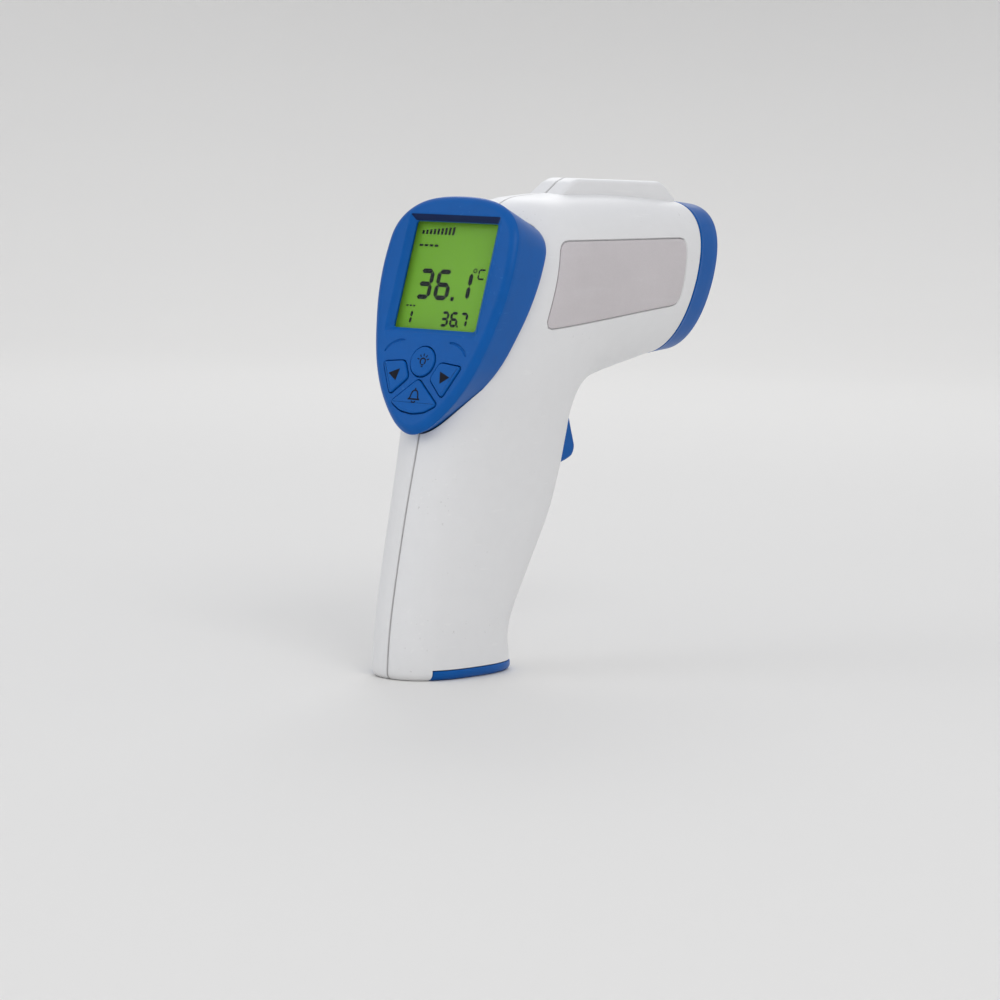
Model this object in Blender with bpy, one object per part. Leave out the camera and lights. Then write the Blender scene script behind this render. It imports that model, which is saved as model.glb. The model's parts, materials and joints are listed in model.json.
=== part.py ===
"""Hand-held infrared forehead thermometer, every separate piece as its own closed solid.

Frame: +Z up, +Y the way the nozzle looks, +X to the user's right.  The origin is on the
ground under the middle of the footprint.  Lengths below are millimetres and are turned
into metres when a mesh is made.
"""
import math

import bmesh
import bpy
from mathutils import Vector

MM = 0.001
GAP = 0.3
SEAM = 0.15
WALL = 2.2
RING = 40

# Side view of the housing: front line and back line of the section, then its half width.
# The sections start level at the foot and fan round until they stand upright in the barrel.
STATIONS = (
    ((-18.5, 0.0), (-68.0, 0.0), 14.3),
    ((-20.0, 5.0), (-68.0, 5.0), 14.1),
    ((-20.5, 12.0), (-67.6, 12.0), 14.0),
    ((-18.0, 19.5), (-66.6, 20.5), 14.3),
    ((-11.0, 32.0), (-64.5, 33.0), 14.9),
    ((-3.5, 45.5), (-61.5, 48.5), 15.6),
    ((0.5, 58.0), (-58.0, 64.0), 16.6),
    ((2.2, 67.5), (-54.5, 79.0), 18.0),
    ((2.9, 75.7), (-50.0, 95.0), 20.2),
    ((5.9, 81.5), (-44.0, 111.0), 21.9),
    ((11.7, 84.9), (-36.5, 127.5), 22.8),
    ((20.2, 87.1), (-22.0, 138.8), 22.8),
    ((25.0, 88.0), (-7.0, 141.5), 22.2),
    ((29.0, 88.8), (12.5, 142.2), 21.3),
    ((34.5, 89.8), (28.0, 141.9), 20.6),
    ((40.5, 91.0), (43.5, 141.1), 19.9),
    ((46.7, 92.0), (57.6, 140.1), 19.0),
    ((57.4, 93.0), (68.2, 139.2), 17.8),
)
BODY_END = 16.0
NOZZLE_END = 17.0
ROUNDNESS = 2.5
EGG_BIAS = 0.10

# Display face: a plane leaning forward at the top, with its own x, v and n directions.
FACE_TILT = math.radians(17.0)
FACE_Y = -51.4
FACE_Z = 106.0
FACE_EDGE = 3.0
BEZEL_DEPTH = 14.4
BEZEL_DEPTH_SLOPE = 0.128
BEZEL_DRAFT = 1.6
BEZEL_WALL = 2.0
CHIN_DRAFT = 2.2
BEZEL_OUTLINE = (
    (0.0, 36.8), (8.6, 36.3), (15.5, 34.5), (20.7, 31.0), (23.8, 26.0), (24.8, 19.0),
    (24.9, 12.0), (24.2, 4.5), (22.7, -3.0), (20.9, -10.0), (18.6, -16.5), (15.4, -22.8),
    (11.5, -28.2), (7.2, -32.6), (3.4, -35.0), (0.0, -35.8),
)

LCD_HALF = 15.7
LCD_LOW = -4.0
LCD_HIGH = 28.8
MOUTH = 1.7
BEVEL_DEEP = 1.5

BUTTON_PROUD = 0.5
BUTTON_GAP = 0.3
BUTTON_R = 4.6

DOOR_BACK = -61.0
DOOR_HIGH = 2.9
FOOT_ROUND = 2.4
DOOR_PIVOT_Y = -60.2
DOOR_PIVOT_Z = 0.5

PIVOT_Y = -1.0
PIVOT_Z = 79.5
TRIGGER_HALF = 4.9
TRIGGER_OUTLINE = (
    (5.8, 79.2), (7.4, 76.6), (8.6, 73.4), (9.7, 70.2), (10.9, 66.8), (11.4, 64.9), (10.9, 62.9),
    (9.3, 61.4), (4.0, 59.8), (-3.0, 59.1), (-4.4, 60.6), (-4.4, 74.0), (-4.6, 79.0), (-2.6, 82.2),
    (0.4, 82.6),
)

SCREWS = ((-27.0, 15.5), (-14.0, 42.5), (-4.0, 132.0), (38.5, 132.4), (32.0, 101.0))
BOSS_R = 3.3
BOARD_LOW = -22.0
BOARD_SCREWS = ((-15.5, 24.5), (15.5, 24.5), (-12.5, -11.0), (12.5, -11.0))
SENSOR_Z = 116.5
SENSOR_Y = 45.0

GRIP_LEAN = math.radians(12.5)
CELL_R = 5.1
CELL_LONG = 43.5
CELL_Y = -44.5
CELL_Z = 10.5

WHITE = (0.80, 0.81, 0.83)
BLUE = (0.022, 0.150, 0.520)
GREY = (0.52, 0.50, 0.53)
GREEN = (0.23, 0.46, 0.09)
BOARD = (0.02, 0.18, 0.07)
STEEL = (0.55, 0.56, 0.58)
BLACK = (0.015, 0.015, 0.018)


def clear_scene():
    """Remove every object that a new file starts with."""
    for item in list(bpy.data.objects):
        bpy.data.objects.remove(item, do_unlink=True)


def material(name, colour, rough, metal=0.0):
    """A Principled material with one colour, roughness and metallic value."""
    mat = bpy.data.materials.new(name)
    mat.use_nodes = True
    shader = mat.node_tree.nodes["Principled BSDF"]
    shader.inputs["Base Color"].default_value = (*colour, 1.0)
    shader.inputs["Roughness"].default_value = rough
    shader.inputs["Metallic"].default_value = metal
    mat.diffuse_color = (*colour, 1.0)
    return mat


def finish(name, bm, look, origin=(0.0, 0.0, 0.0), smooth=35.0, helper=False):
    """Turn a bmesh in millimetres into an object in metres about the given origin."""
    bmesh.ops.recalc_face_normals(bm, faces=bm.faces)
    shift = Vector(origin)
    for vert in bm.verts:
        vert.co = (vert.co - shift) * MM
    mesh = bpy.data.meshes.new(name)
    bm.to_mesh(mesh)
    bm.free()
    if look is not None:
        mesh.materials.append(material(name, *look))
    mesh.shade_smooth()
    mesh.set_sharp_from_angle(angle=math.radians(smooth))
    item = bpy.data.objects.new(name, mesh)
    item.location = shift * MM
    bpy.context.scene.collection.objects.link(item)
    if helper:
        item.hide_render = True
        item.display_type = "WIRE"
    return item


def combine(target, tool, operation):
    """Cut or join a helper into an object with an exact Boolean."""
    mod = target.modifiers.new(operation.lower() + "_" + tool.name, "BOOLEAN")
    mod.operation = operation
    mod.solver = "EXACT"
    mod.object = tool
    return mod


def loft(rings, closed=False, bm=None):
    """Skin a list of rings that all have the same number of points."""
    bm = bm or bmesh.new()
    rows = [[bm.verts.new(point) for point in ring] for ring in rings]
    count = len(rows[0])
    pairs = list(zip(rows, rows[1:]))
    if closed:
        pairs.append((rows[-1], rows[0]))
    for first, second in pairs:
        for i in range(count):
            j = (i + 1) % count
            bm.faces.new((first[i], first[j], second[j], second[i]))
    if not closed:
        bm.faces.new(list(reversed(rows[0])))
        bm.faces.new(rows[-1])
    return bm


def prism(points, low, high, place):
    """A straight solid over a flat outline; place maps (a, b, height) to a world point."""
    rings = [[place(a, b, h) for a, b in points] for h in (low, high)]
    return loft(rings)


def slab(low, high):
    """A plain box between two corners."""
    outline = ((low[0], low[1]), (high[0], low[1]), (high[0], high[1]), (low[0], high[1]))
    return prism(outline, low[2], high[2], lambda a, b, h: Vector((a, b, h)))


def rounded_rect(half_a, half_b, radius, steps=3, centre=(0.0, 0.0)):
    """Outline of a rectangle with rounded corners, anticlockwise."""
    points = []
    corners = ((1, 1, 0), (-1, 1, 90), (-1, -1, 180), (1, -1, 270))
    for sign_a, sign_b, start in corners:
        for k in range(steps + 1):
            angle = math.radians(start + 90.0 * k / steps)
            a = centre[0] + sign_a * (half_a - radius) + radius * math.cos(angle)
            b = centre[1] + sign_b * (half_b - radius) + radius * math.sin(angle)
            points.append((a, b))
    return points


def circle(radius, count, centre=(0.0, 0.0)):
    """Outline of a circle, anticlockwise."""
    step = 2.0 * math.pi / count
    return [
        (centre[0] + radius * math.cos(i * step), centre[1] + radius * math.sin(i * step))
        for i in range(count)
    ]


def round_corners(corners, radius, steps=3):
    """Round every corner of a polygon with a quadratic blend of the given reach."""
    points = []
    count = len(corners)
    for i, corner in enumerate(corners):
        here = Vector(corner)
        before = Vector(corners[i - 1])
        after = Vector(corners[(i + 1) % count])
        start = here + (before - here).normalized() * radius
        end = here + (after - here).normalized() * radius
        for k in range(steps + 1):
            t = k / steps
            blend = start * (1 - t) ** 2 + here * 2 * t * (1 - t) + end * t ** 2
            points.append((blend.x, blend.y))
    return points


def spline(values, t):
    """Catmull-Rom value at parameter t through a list of tuples."""
    last = len(values) - 1
    t = min(max(t, 0.0), float(last))
    i = min(int(t), last - 1)
    u = t - i
    p1 = values[i]
    p2 = values[i + 1]
    p0 = values[i - 1] if i > 0 else tuple(2 * a - b for a, b in zip(p1, p2))
    p3 = values[i + 2] if i + 2 <= last else tuple(2 * b - a for a, b in zip(p1, p2))
    return tuple(
        0.5 * (2 * b + (c - a) * u + (2 * a - 5 * b + 4 * c - d) * u * u
               + (3 * b - a - 3 * c + d) * u ** 3)
        for a, b, c, d in zip(p0, p1, p2, p3)
    )


FLAT_STATIONS = [(front[0], front[1], back[0], back[1], half) for front, back, half in STATIONS]


def section(s, theta, inset=0.0):
    """A point on the housing at station s; theta runs 0 at the front line to pi at the back."""
    fy, fz, by, bz, half = spline(FLAT_STATIONS, s)
    front = Vector((0.0, fy, fz))
    back = Vector((0.0, by, bz))
    along = back - front
    reach = along.length / 2.0 - inset
    along.normalize()
    middle = (front + (Vector((0.0, by, bz)) - front) / 2.0)
    power = 2.0 / ROUNDNESS
    c = -math.cos(theta)
    q = math.copysign(abs(c) ** power, c)
    side = math.sin(theta)
    p = math.copysign(abs(side) ** power, side)
    bias = EGG_BIAS * min(max((s - 6.0) / 4.0, 0.0), 1.0)
    width = (half - inset) * p * (1.0 + bias * (q - 0.35 * abs(q)))
    return middle + along * (reach * q) + Vector((width, 0.0, 0.0))


def side_x(y, z, inset=0.0):
    """Half width of the housing at a point of the side view, inside the barrel."""
    low = 7.0
    high = NOZZLE_END
    for _ in range(40):
        mid = (low + high) / 2.0
        fy, fz, by, bz, _ = spline(FLAT_STATIONS, mid)
        cross = (by - fy) * (z - fz) - (bz - fz) * (y - fy)
        if cross < 0.0:
            low = mid
        else:
            high = mid
    low_t = 0.0
    high_t = math.pi
    for _ in range(40):
        mid_t = (low_t + high_t) / 2.0
        if section(low, mid_t, inset).z < z:
            low_t = mid_t
        else:
            high_t = mid_t
    return section(low, low_t, inset).x


def foot_inset(z):
    """How far the foot's lower edge is rounded in at height z."""
    if z >= FOOT_ROUND:
        return 0.0
    rise = 1.0 - z / FOOT_ROUND
    return FOOT_ROUND * 0.8 * (1.0 - math.sqrt(1.0 - rise * rise))


def half_shell(side):
    """One half of the housing: outer and inner skin of one side, closed along the seam."""
    arc = 11
    steps = 28
    rings = []
    stops = [0.0, 0.12, 0.30] + [0.5 + (BODY_END - 0.5) * k / steps for k in range(steps + 1)]
    for s in stops:
        outer = []
        inner = []
        edge = foot_inset(5.0 * s) if s < 0.6 else 0.0
        for i in range(arc + 1):
            theta = math.pi * i / arc
            for bucket, inset in ((outer, edge), (inner, WALL)):
                point = section(s, theta, inset)
                point.x = side * max(point.x, SEAM)
                bucket.append(point)
        rings.append(outer + list(reversed(inner)))
    return loft(rings)


def face_point(x, v, n):
    """World point of display-face coordinates: x across, v up the face, n out of it."""
    y = FACE_Y + v * math.sin(FACE_TILT) - n * math.cos(FACE_TILT)
    z = FACE_Z + v * math.cos(FACE_TILT) + n * math.sin(FACE_TILT)
    return Vector((x, y, z))


def bezel_outline(inset, count):
    """The egg outline of the display face, moved outwards by inset."""
    right = [spline(BEZEL_OUTLINE, (len(BEZEL_OUTLINE) - 1) * i / (count - 1)) for i in range(count)]
    points = right + [(-x, v) for x, v in reversed(right[1:-1])]
    total = len(points)
    moved = []
    for i, (x, v) in enumerate(points):
        ax, av = points[i - 1]
        bx, bv = points[(i + 1) % total]
        normal = Vector((av - bv, bx - ax)).normalized()
        moved.append((x + normal.x * inset, v + normal.y * inset))
    return moved


def rear_outline(margin, count):
    """The bezel's rear outline: drafted inwards, more so towards the chin."""
    full = bezel_outline(0.0, count)
    mild = bezel_outline(margin - BEZEL_DRAFT, count)
    tight = bezel_outline(margin - BEZEL_DRAFT - CHIN_DRAFT, count)
    points = []
    for (_, v), near, far in zip(full, mild, tight):
        share = min(max((-8.0 - v) / 22.0, 0.0), 1.0)
        share = share * share * (3.0 - 2.0 * share)
        points.append((near[0] + (far[0] - near[0]) * share, near[1] + (far[1] - near[1]) * share))
    return points


def bezel_depth(v, extra=0.0):
    """Distance of the bezel's rear edge behind the display face at height v."""
    return -(BEZEL_DEPTH + BEZEL_DEPTH_SLOPE * v + extra)


def face_prism(points, low, high):
    """A solid over an outline on the display face between two depths."""
    return prism(points, low, high, face_point)


BUTTONS = {
    "button_light": circle(BUTTON_R, 20, (0.0, -14.3)),
    "button_left": round_corners(((-14.9, -15.0), (-6.8, -14.2), (-4.1, -19.2), (-9.9, -24.6)), 1.3),
    "button_right": round_corners(((14.9, -15.0), (9.9, -24.6), (4.1, -19.2), (6.8, -14.2)), 1.3),
    "button_sound": round_corners(
        ((0.0, -19.2), (-8.9, -26.8), (-4.6, -29.2), (0.0, -29.9), (4.6, -29.2), (8.9, -26.8)), 1.2),
}


def grow(points, amount):
    """Move an outline outwards along its corner normals."""
    area = sum(p[0] * q[1] - q[0] * p[1] for p, q in zip(points, points[1:] + points[:1]))
    sign = 1.0 if area > 0 else -1.0
    grown = []
    total = len(points)
    for i, (a, b) in enumerate(points):
        pa, pb = points[i - 1]
        qa, qb = points[(i + 1) % total]
        normal = Vector((qb - pb, pa - qa)).normalized() * sign
        grown.append((a + normal.x * amount, b + normal.y * amount))
    return grown


def build_bezel():
    """The blue display bezel: an egg-shaped cup with a window, key holes and grooves."""
    count = 23
    profile = [(FACE_EDGE, 0.0), (1.0, -0.75), (0.2, -2.0), (0.0, -3.2)]
    rings = []
    for inset, n in profile:
        rings.append([face_point(x, v, n) for x, v in bezel_outline(-inset, count)])
    rings.append([face_point(x, v, bezel_depth(v)) for x, v in rear_outline(0.0, count)])
    rings.append([face_point(x, v, bezel_depth(v)) for x, v in rear_outline(-BEZEL_WALL, count)])
    rings.append([face_point(x, v, -WALL) for x, v in bezel_outline(-BEZEL_WALL + 0.1, count)])
    bezel = finish("display_bezel", loft(rings), (BLUE, 0.35))
    middle = (LCD_HIGH + LCD_LOW) / 2.0
    half_v = (LCD_HIGH - LCD_LOW) / 2.0
    mouth_rings = []
    for grown, n in ((MOUTH + 0.56, 0.5), (0.0, -BEVEL_DEEP), (0.0, -3.0)):
        outline = rounded_rect(LCD_HALF + grown, half_v + grown, 0.6, 1, (0.0, middle))
        mouth_rings.append([face_point(x, v, n) for x, v in outline])
    window = finish("cut_window", loft(mouth_rings), None, helper=True)
    combine(bezel, window, "DIFFERENCE")
    for name, points in BUTTONS.items():
        hole = finish("cut_" + name, face_prism(grow(points, BUTTON_GAP), -3.0, 1.0), None, helper=True)
        combine(bezel, hole, "DIFFERENCE")
    for side in (-1, 1):
        line = [(15.4, -11.8), (13.0, -9.2), (10.3, -8.2), (8.0, -8.0)]
        outer = [(side * x, v + 0.35) for x, v in line]
        inner_line = [(side * (x - 0.25), v - 0.35) for x, v in reversed(line)]
        groove = finish("cut_groove_" + ("l" if side < 0 else "r"),
                        face_prism(outer + inner_line, -0.5, 0.6), None, helper=True)
        combine(bezel, groove, "DIFFERENCE")
    return bezel


def build_housings():
    """Both white half shells with their cuts, bosses and half rails."""
    envelope_rings = [
        [face_point(x, v, 6.0) for x, v in bezel_outline(GAP + 0.4, 23)],
        [face_point(x, v, -3.2) for x, v in bezel_outline(GAP, 23)],
        [face_point(x, v, bezel_depth(v, GAP)) for x, v in rear_outline(GAP, 23)],
    ]
    envelope = finish("cut_bezel", loft(envelope_rings), None, helper=True)
    door_cut = finish("cut_door", slab((-30.0, DOOR_BACK, -5.0), (30.0, 5.0, DOOR_HIGH + GAP)),
                      None, helper=True)
    slot = finish("cut_trigger", slab((-TRIGGER_HALF - 0.5, -6.0, 58.3), (TRIGGER_HALF + 0.5, 16.0, 81.9)),
                  None, helper=True)
    shells = {}
    for name, side in (("housing_left", -1), ("housing_right", 1)):
        shell = finish(name, half_shell(side), (WHITE, 0.38))
        rail_line = ((-2.0, 141.0), (4.5, 145.4), (8.0, 146.6), (49.0, 146.0), (51.8, 144.8), (56.4, 140.0),
                     (54.0, 138.6), (40.0, 139.6), (20.0, 140.4), (3.0, 140.0))
        rail_rings = []
        for x, drop in ((SEAM, 0.0), (5.2, 0.1), (6.4, 1.0)):
            ring = []
            for y, z in rail_line:
                top = z if z < 141.0 else z - drop
                ring.append(Vector((side * x, y, top)))
            rail_rings.append(ring)
        rail = finish(name + "_rail", loft(rail_rings), None, helper=True)
        combine(shell, rail, "UNION")
        floor = finish(name + "_floor", foot_floor(side), None, helper=True)
        combine(shell, floor, "UNION")
        for i, (y, z) in enumerate(SCREWS):
            width_at = grip_half if z < 70.0 else side_x
            reach = BOSS_R + 0.2
            wall = min(width_at(y + dy, z + dz) for dy in (-reach, reach) for dz in (-reach, reach))
            ring = circle(BOSS_R, 14, (y, z))
            boss = finish(
                name + "_boss_%d" % i,
                prism(ring, side * SEAM, side * (wall - 0.5), lambda a, b, h: Vector((h, a, b))),
                None, helper=True)
            combine(shell, boss, "UNION")
        for i, (y, z) in enumerate(SCREWS):
            if side < 0:
                bore = prism(circle(2.6, 14, (y, z)), -40.0, -4.0, lambda a, b, h: Vector((h, a, b)))
                far = 3.0
            else:
                bore = None
                far = 9.6
            hole = prism(circle(1.5, 12, (y, z)), side * -3.0 if side > 0 else -5.0,
                         far, lambda a, b, h: Vector((h, a, b)))
            combine(shell, finish(name + "_hole_%d" % i, hole, None, helper=True), "DIFFERENCE")
            if bore is not None:
                combine(shell, finish(name + "_bore_%d" % i, bore, None, helper=True), "DIFFERENCE")
        for tool in (envelope, door_cut, slot):
            combine(shell, tool, "DIFFERENCE")
        recess = finish(name + "_label_cut", label_solid(side, 0.30, -1.5, 0.85), None, helper=True)
        combine(shell, recess, "DIFFERENCE")
        shells[name] = shell
    return shells


def foot_floor(side):
    """The solid heel of the foot behind the door, one side of it."""
    rings = []
    for z, extra in ((0.0, 0.7), (0.6, 0.7), (1.5, 0.7), (3.6, 0.7)):
        ring = []
        for i in range(9):
            theta = math.radians(138.0 + 42.0 * i / 8.0)
            point = section(z / 5.0, theta, foot_inset(z) + extra)
            ring.append(Vector((side * max(point.x, SEAM), point.y, z)))
        ring.append(Vector((side * SEAM, DOOR_BACK + 1.0, z)))
        ring.insert(0, Vector((side * abs(ring[0].x), DOOR_BACK + 1.0, z)))
        rings.append(ring)
    return loft(rings)


def grip_half(y, z):
    """Half width of the grip where a level line at height z meets depth y."""
    low = 0.0
    high = 8.0
    for _ in range(40):
        mid = (low + high) / 2.0
        fy, fz, by, bz, _ = spline(FLAT_STATIONS, mid)
        cross = (by - fy) * (z - fz) - (bz - fz) * (y - fy)
        if cross < 0.0:
            low = mid
        else:
            high = mid
    low_t = 0.0
    high_t = math.pi
    for _ in range(40):
        mid_t = (low_t + high_t) / 2.0
        if section(low, mid_t).y > y:
            low_t = mid_t
        else:
            high_t = mid_t
    return section(low, low_t).x


LABEL_CORNERS = ((-17.6, 128.0), (-25.9, 102.2), (43.6, 108.4), (46.2, 128.6))


def label_solid(side, margin, shallow, deep):
    """A patch that follows the barrel's side between two depths below its surface."""
    outline = round_corners(LABEL_CORNERS, 4.0, 3)
    outline = grow(outline, margin)
    bm = bmesh.new()
    centre_y = sum(p[0] for p in outline) / len(outline)
    centre_z = sum(p[1] for p in outline) / len(outline)
    layers = []
    for inset in (shallow, deep):
        rings = []
        for scale in (1.0, 0.5):
            ring = []
            for y, z in outline:
                py = centre_y + (y - centre_y) * scale
                pz = centre_z + (z - centre_z) * scale
                ring.append(bm.verts.new((side * (side_x(py, pz) - inset), py, pz)))
            rings.append(ring)
        hub = bm.verts.new((side * (side_x(centre_y, centre_z) - inset), centre_y, centre_z))
        layers.append((rings, hub))
    count = len(outline)
    for rings, hub in layers:
        for i in range(count):
            j = (i + 1) % count
            bm.faces.new((rings[0][i], rings[0][j], rings[1][j], rings[1][i]))
            bm.faces.new((rings[1][i], rings[1][j], hub))
    for i in range(count):
        j = (i + 1) % count
        bm.faces.new((layers[0][0][0][i], layers[0][0][0][j], layers[1][0][0][j], layers[1][0][0][i]))
    return bm


def build_labels():
    """The two grey inlaid side plates."""
    for name, side in (("side_label_left", -1), ("side_label_right", 1)):
        finish(name, label_solid(side, 0.0, 0.05, 0.5), (GREY, 0.5))


def build_display():
    """Window, liquid crystal cell, frame, light guide, contact strip, board and chip."""
    middle = (LCD_HIGH + LCD_LOW) / 2.0
    half_v = (LCD_HIGH - LCD_LOW) / 2.0
    plates = (
        ("lcd_window", LCD_HALF + 0.9, half_v + 0.9, -3.5, -2.55, (0.75, 0.85, 0.75), 0.06),
        ("lcd_glass", LCD_HALF + 0.8, half_v + 0.8, -5.2, -3.85, GREEN, 0.12),
        ("lcd_backlight", LCD_HALF + 0.6, half_v + 0.7, -7.6, -5.55, (0.75, 0.85, 0.6), 0.3),
    )
    for name, half_x, half_y, low, high, colour, rough in plates:
        outline = rounded_rect(half_x, half_y, 0.6, 1, (0.0, middle))
        finish(name, face_prism(outline, low, high), (colour, rough))
    frame_outer = rounded_rect(LCD_HALF + 2.0, half_v + 1.8, 1.6, 1, (0.0, middle))
    frame_inner = rounded_rect(LCD_HALF + 1.2, half_v + 1.2, 0.6, 1, (0.0, middle))
    rings = []
    for ring, n in ((frame_outer, -8.4), (frame_outer, -2.6), (frame_inner, -2.6), (frame_inner, -8.4)):
        rings.append([face_point(x, v, n) for x, v in ring])
    finish("lcd_frame", loft(rings, closed=True), ((0.85, 0.85, 0.83), 0.45))
    strip = rounded_rect(13.0, 0.9, 0.3, 1, (0.0, LCD_LOW - 0.1))
    finish("zebra_strip", face_prism(strip, -8.45, -7.9), ((0.75, 0.55, 0.6), 0.6))
    board = build_board()
    chip = rounded_rect(4.5, 4.5, 0.4, 1, (0.0, 10.0))
    finish("main_chip", face_prism(chip, -11.9, -10.7), (BLACK, 0.5))
    sounder = circle(4.6, 20, (0.0, -10.5))
    finish("buzzer", face_prism(sounder, -13.4, -10.7), (BLACK, 0.45))
    for i, (x, v) in enumerate(BOARD_SCREWS):
        screw("board_screw_%d" % (i + 1), face_point(x, v, -10.7), -face_normal(), 1.6, 1.0, 0.9, 2.6, 12)
    return board


def face_normal():
    """Outward direction of the display face."""
    return Vector((0.0, -math.cos(FACE_TILT), math.sin(FACE_TILT)))


def build_board():
    """The main circuit board, an egg smaller than the bezel's inside."""
    outline = [(x, max(v, BOARD_LOW)) for x, v in rear_outline(-BEZEL_WALL - 0.9, 15)]
    outline = [p for i, p in enumerate(outline) if (Vector(p) - Vector(outline[i - 1])).length > 0.4]
    board = finish("main_board", face_prism(outline, -10.4, -8.8), (BOARD, 0.4))
    for i, (x, v) in enumerate(BOARD_SCREWS):
        hole = finish("cut_board_%d" % i, face_prism(circle(1.2, 12, (x, v)), -11.0, -8.0), None, helper=True)
        combine(board, hole, "DIFFERENCE")
    return board


def screw(name, seat, inward, head_r, head_h, shank_r, shank_l, count=14):
    """A pan-head screw: seat is under the head, inward points out of the head's top."""
    up = inward.normalized()
    helper_axis = Vector((1.0, 0.0, 0.0)) if abs(up.x) < 0.9 else Vector((0.0, 1.0, 0.0))
    a = up.cross(helper_axis).normalized()
    b = up.cross(a)
    rings = []
    for radius, height in ((shank_r * 0.6, -shank_l), (shank_r, -shank_l + 0.8), (shank_r, 0.0),
                           (head_r, 0.0), (head_r, head_h * 0.55), (head_r * 0.72, head_h)):
        ring = []
        for i in range(count):
            angle = 2.0 * math.pi * i / count
            ring.append(seat + up * height + (a * math.cos(angle) + b * math.sin(angle)) * radius)
        rings.append(ring)
    return finish(name, loft(rings), (STEEL, 0.3, 1.0))


def build_keys():
    """Four push keys and the rubber mat with a dome under each."""
    for name, points in BUTTONS.items():
        centre_x = sum(p[0] for p in points) / len(points)
        centre_v = sum(p[1] for p in points) / len(points)
        rings = []
        for amount, n in ((0.0, -2.6), (0.0, BUTTON_PROUD - 0.3), (-0.35, BUTTON_PROUD)):
            rings.append([face_point(x, v, n) for x, v in grow(points, amount)])
        flange = [[face_point(x, v, n) for x, v in grow(points, BUTTON_GAP + 0.05)] for n in (-3.3, -2.6)]
        bm = loft(flange + rings)
        origin = face_point(centre_x, centre_v, 0.0)
        finish(name, bm, (BLUE, 0.4), origin=origin)
    mat_outline = [(x, v) for x, v in bezel_outline(-4.1, 17) if -30.0 < v < -8.5]
    key_mat = finish("key_mat", face_prism(mat_outline, -6.4, -5.6), ((0.75, 0.75, 0.74), 0.8))
    for i, (x, v) in enumerate(((0.0, -15.2), (-9.6, -18.0), (9.6, -18.0), (0.0, -26.2))):
        dome_rings = []
        for radius, n in ((2.3, -6.0), (2.2, -5.0), (1.4, -4.45)):
            dome_rings.append([face_point(a, b, n) for a, b in circle(radius, 12, (x, v))])
        dome = finish("join_dome_%d" % i, loft(dome_rings), None, helper=True)
        combine(key_mat, dome, "UNION")


def build_nozzle():
    """Blue nozzle ring with its funnel, and the sensor pieces behind it."""
    count = RING

    def ring_at(s, inset):
        return [section(s, 2.0 * math.pi * i / count, inset) for i in range(count)]

    def start_ring(inset, shift):
        points = ring_at(BODY_END, inset)
        return [p + Vector((0.0, shift, 0.0)) for p in points]

    def round_ring(radius, y):
        points = []
        for i in range(count):
            theta = 2.0 * math.pi * i / count
            points.append(Vector((radius * math.sin(theta), y, SENSOR_Z - radius * math.cos(theta))))
        return points

    rings = [
        start_ring(0.0, GAP),
        ring_at(NOZZLE_END - 0.35, 0.0),
        ring_at(NOZZLE_END - 0.06, 0.2),
        ring_at(NOZZLE_END, 1.2),
        ring_at(NOZZLE_END - 0.10, 2.4),
        round_ring(11.6, SENSOR_Y + 5.8),
        round_ring(8.4, SENSOR_Y + 3.2),
        round_ring(8.4, SENSOR_Y + 1.2),
        round_ring(13.2, SENSOR_Y + 1.6),
        start_ring(2.6, GAP),
    ]
    finish("nozzle_cap", loft(rings, closed=True), (BLUE, 0.35))

    def turned(name, profile, look, n=24):
        body = []
        for radius, y in profile:
            body.append([Vector((r0, y, SENSOR_Z + r1)) for r0, r1 in circle(radius, n)])
        return finish(name, loft(body, closed=True), look)

    turned("sensor_cone", ((8.0, SENSOR_Y + 3.6), (8.0, SENSOR_Y - 4.0), (4.4, SENSOR_Y - 9.0),
                           (3.7, SENSOR_Y - 9.0), (7.2, SENSOR_Y + 3.6)), ((0.7, 0.7, 0.72), 0.18, 1.0))
    turned("sensor_sleeve", ((10.2, SENSOR_Y + 0.4), (10.2, SENSOR_Y - 17.0), (5.5, SENSOR_Y - 17.0),
                             (5.5, SENSOR_Y - 9.4), (8.4, SENSOR_Y - 4.4), (8.4, SENSOR_Y + 0.4)),
           ((0.06, 0.06, 0.065), 0.55))
    body = []
    for radius, y in ((4.9, SENSOR_Y - 16.2), (4.9, SENSOR_Y - 15.4), (4.2, SENSOR_Y - 15.4),
                      (4.2, SENSOR_Y - 10.6), (3.6, SENSOR_Y - 10.0)):
        body.append([Vector((r0, y, SENSOR_Z + r1)) for r0, r1 in circle(radius, 20)])
    finish("thermopile_can", loft(body), (STEEL, 0.25, 1.0))
    plate = [(a, b + SENSOR_Z) for a, b in rounded_rect(9.5, 9.5, 1.0, 1)]
    finish("sensor_board", prism(plate, SENSOR_Y - 18.9, SENSOR_Y - 17.3, lambda a, b, h: Vector((a, h, b))),
           (BOARD, 0.4))


def side_prism(points, low, high):
    """A solid over a side-view outline (y, z) between two x positions."""
    return prism(points, low, high, lambda a, b, h: Vector((h, a, b)))


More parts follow.
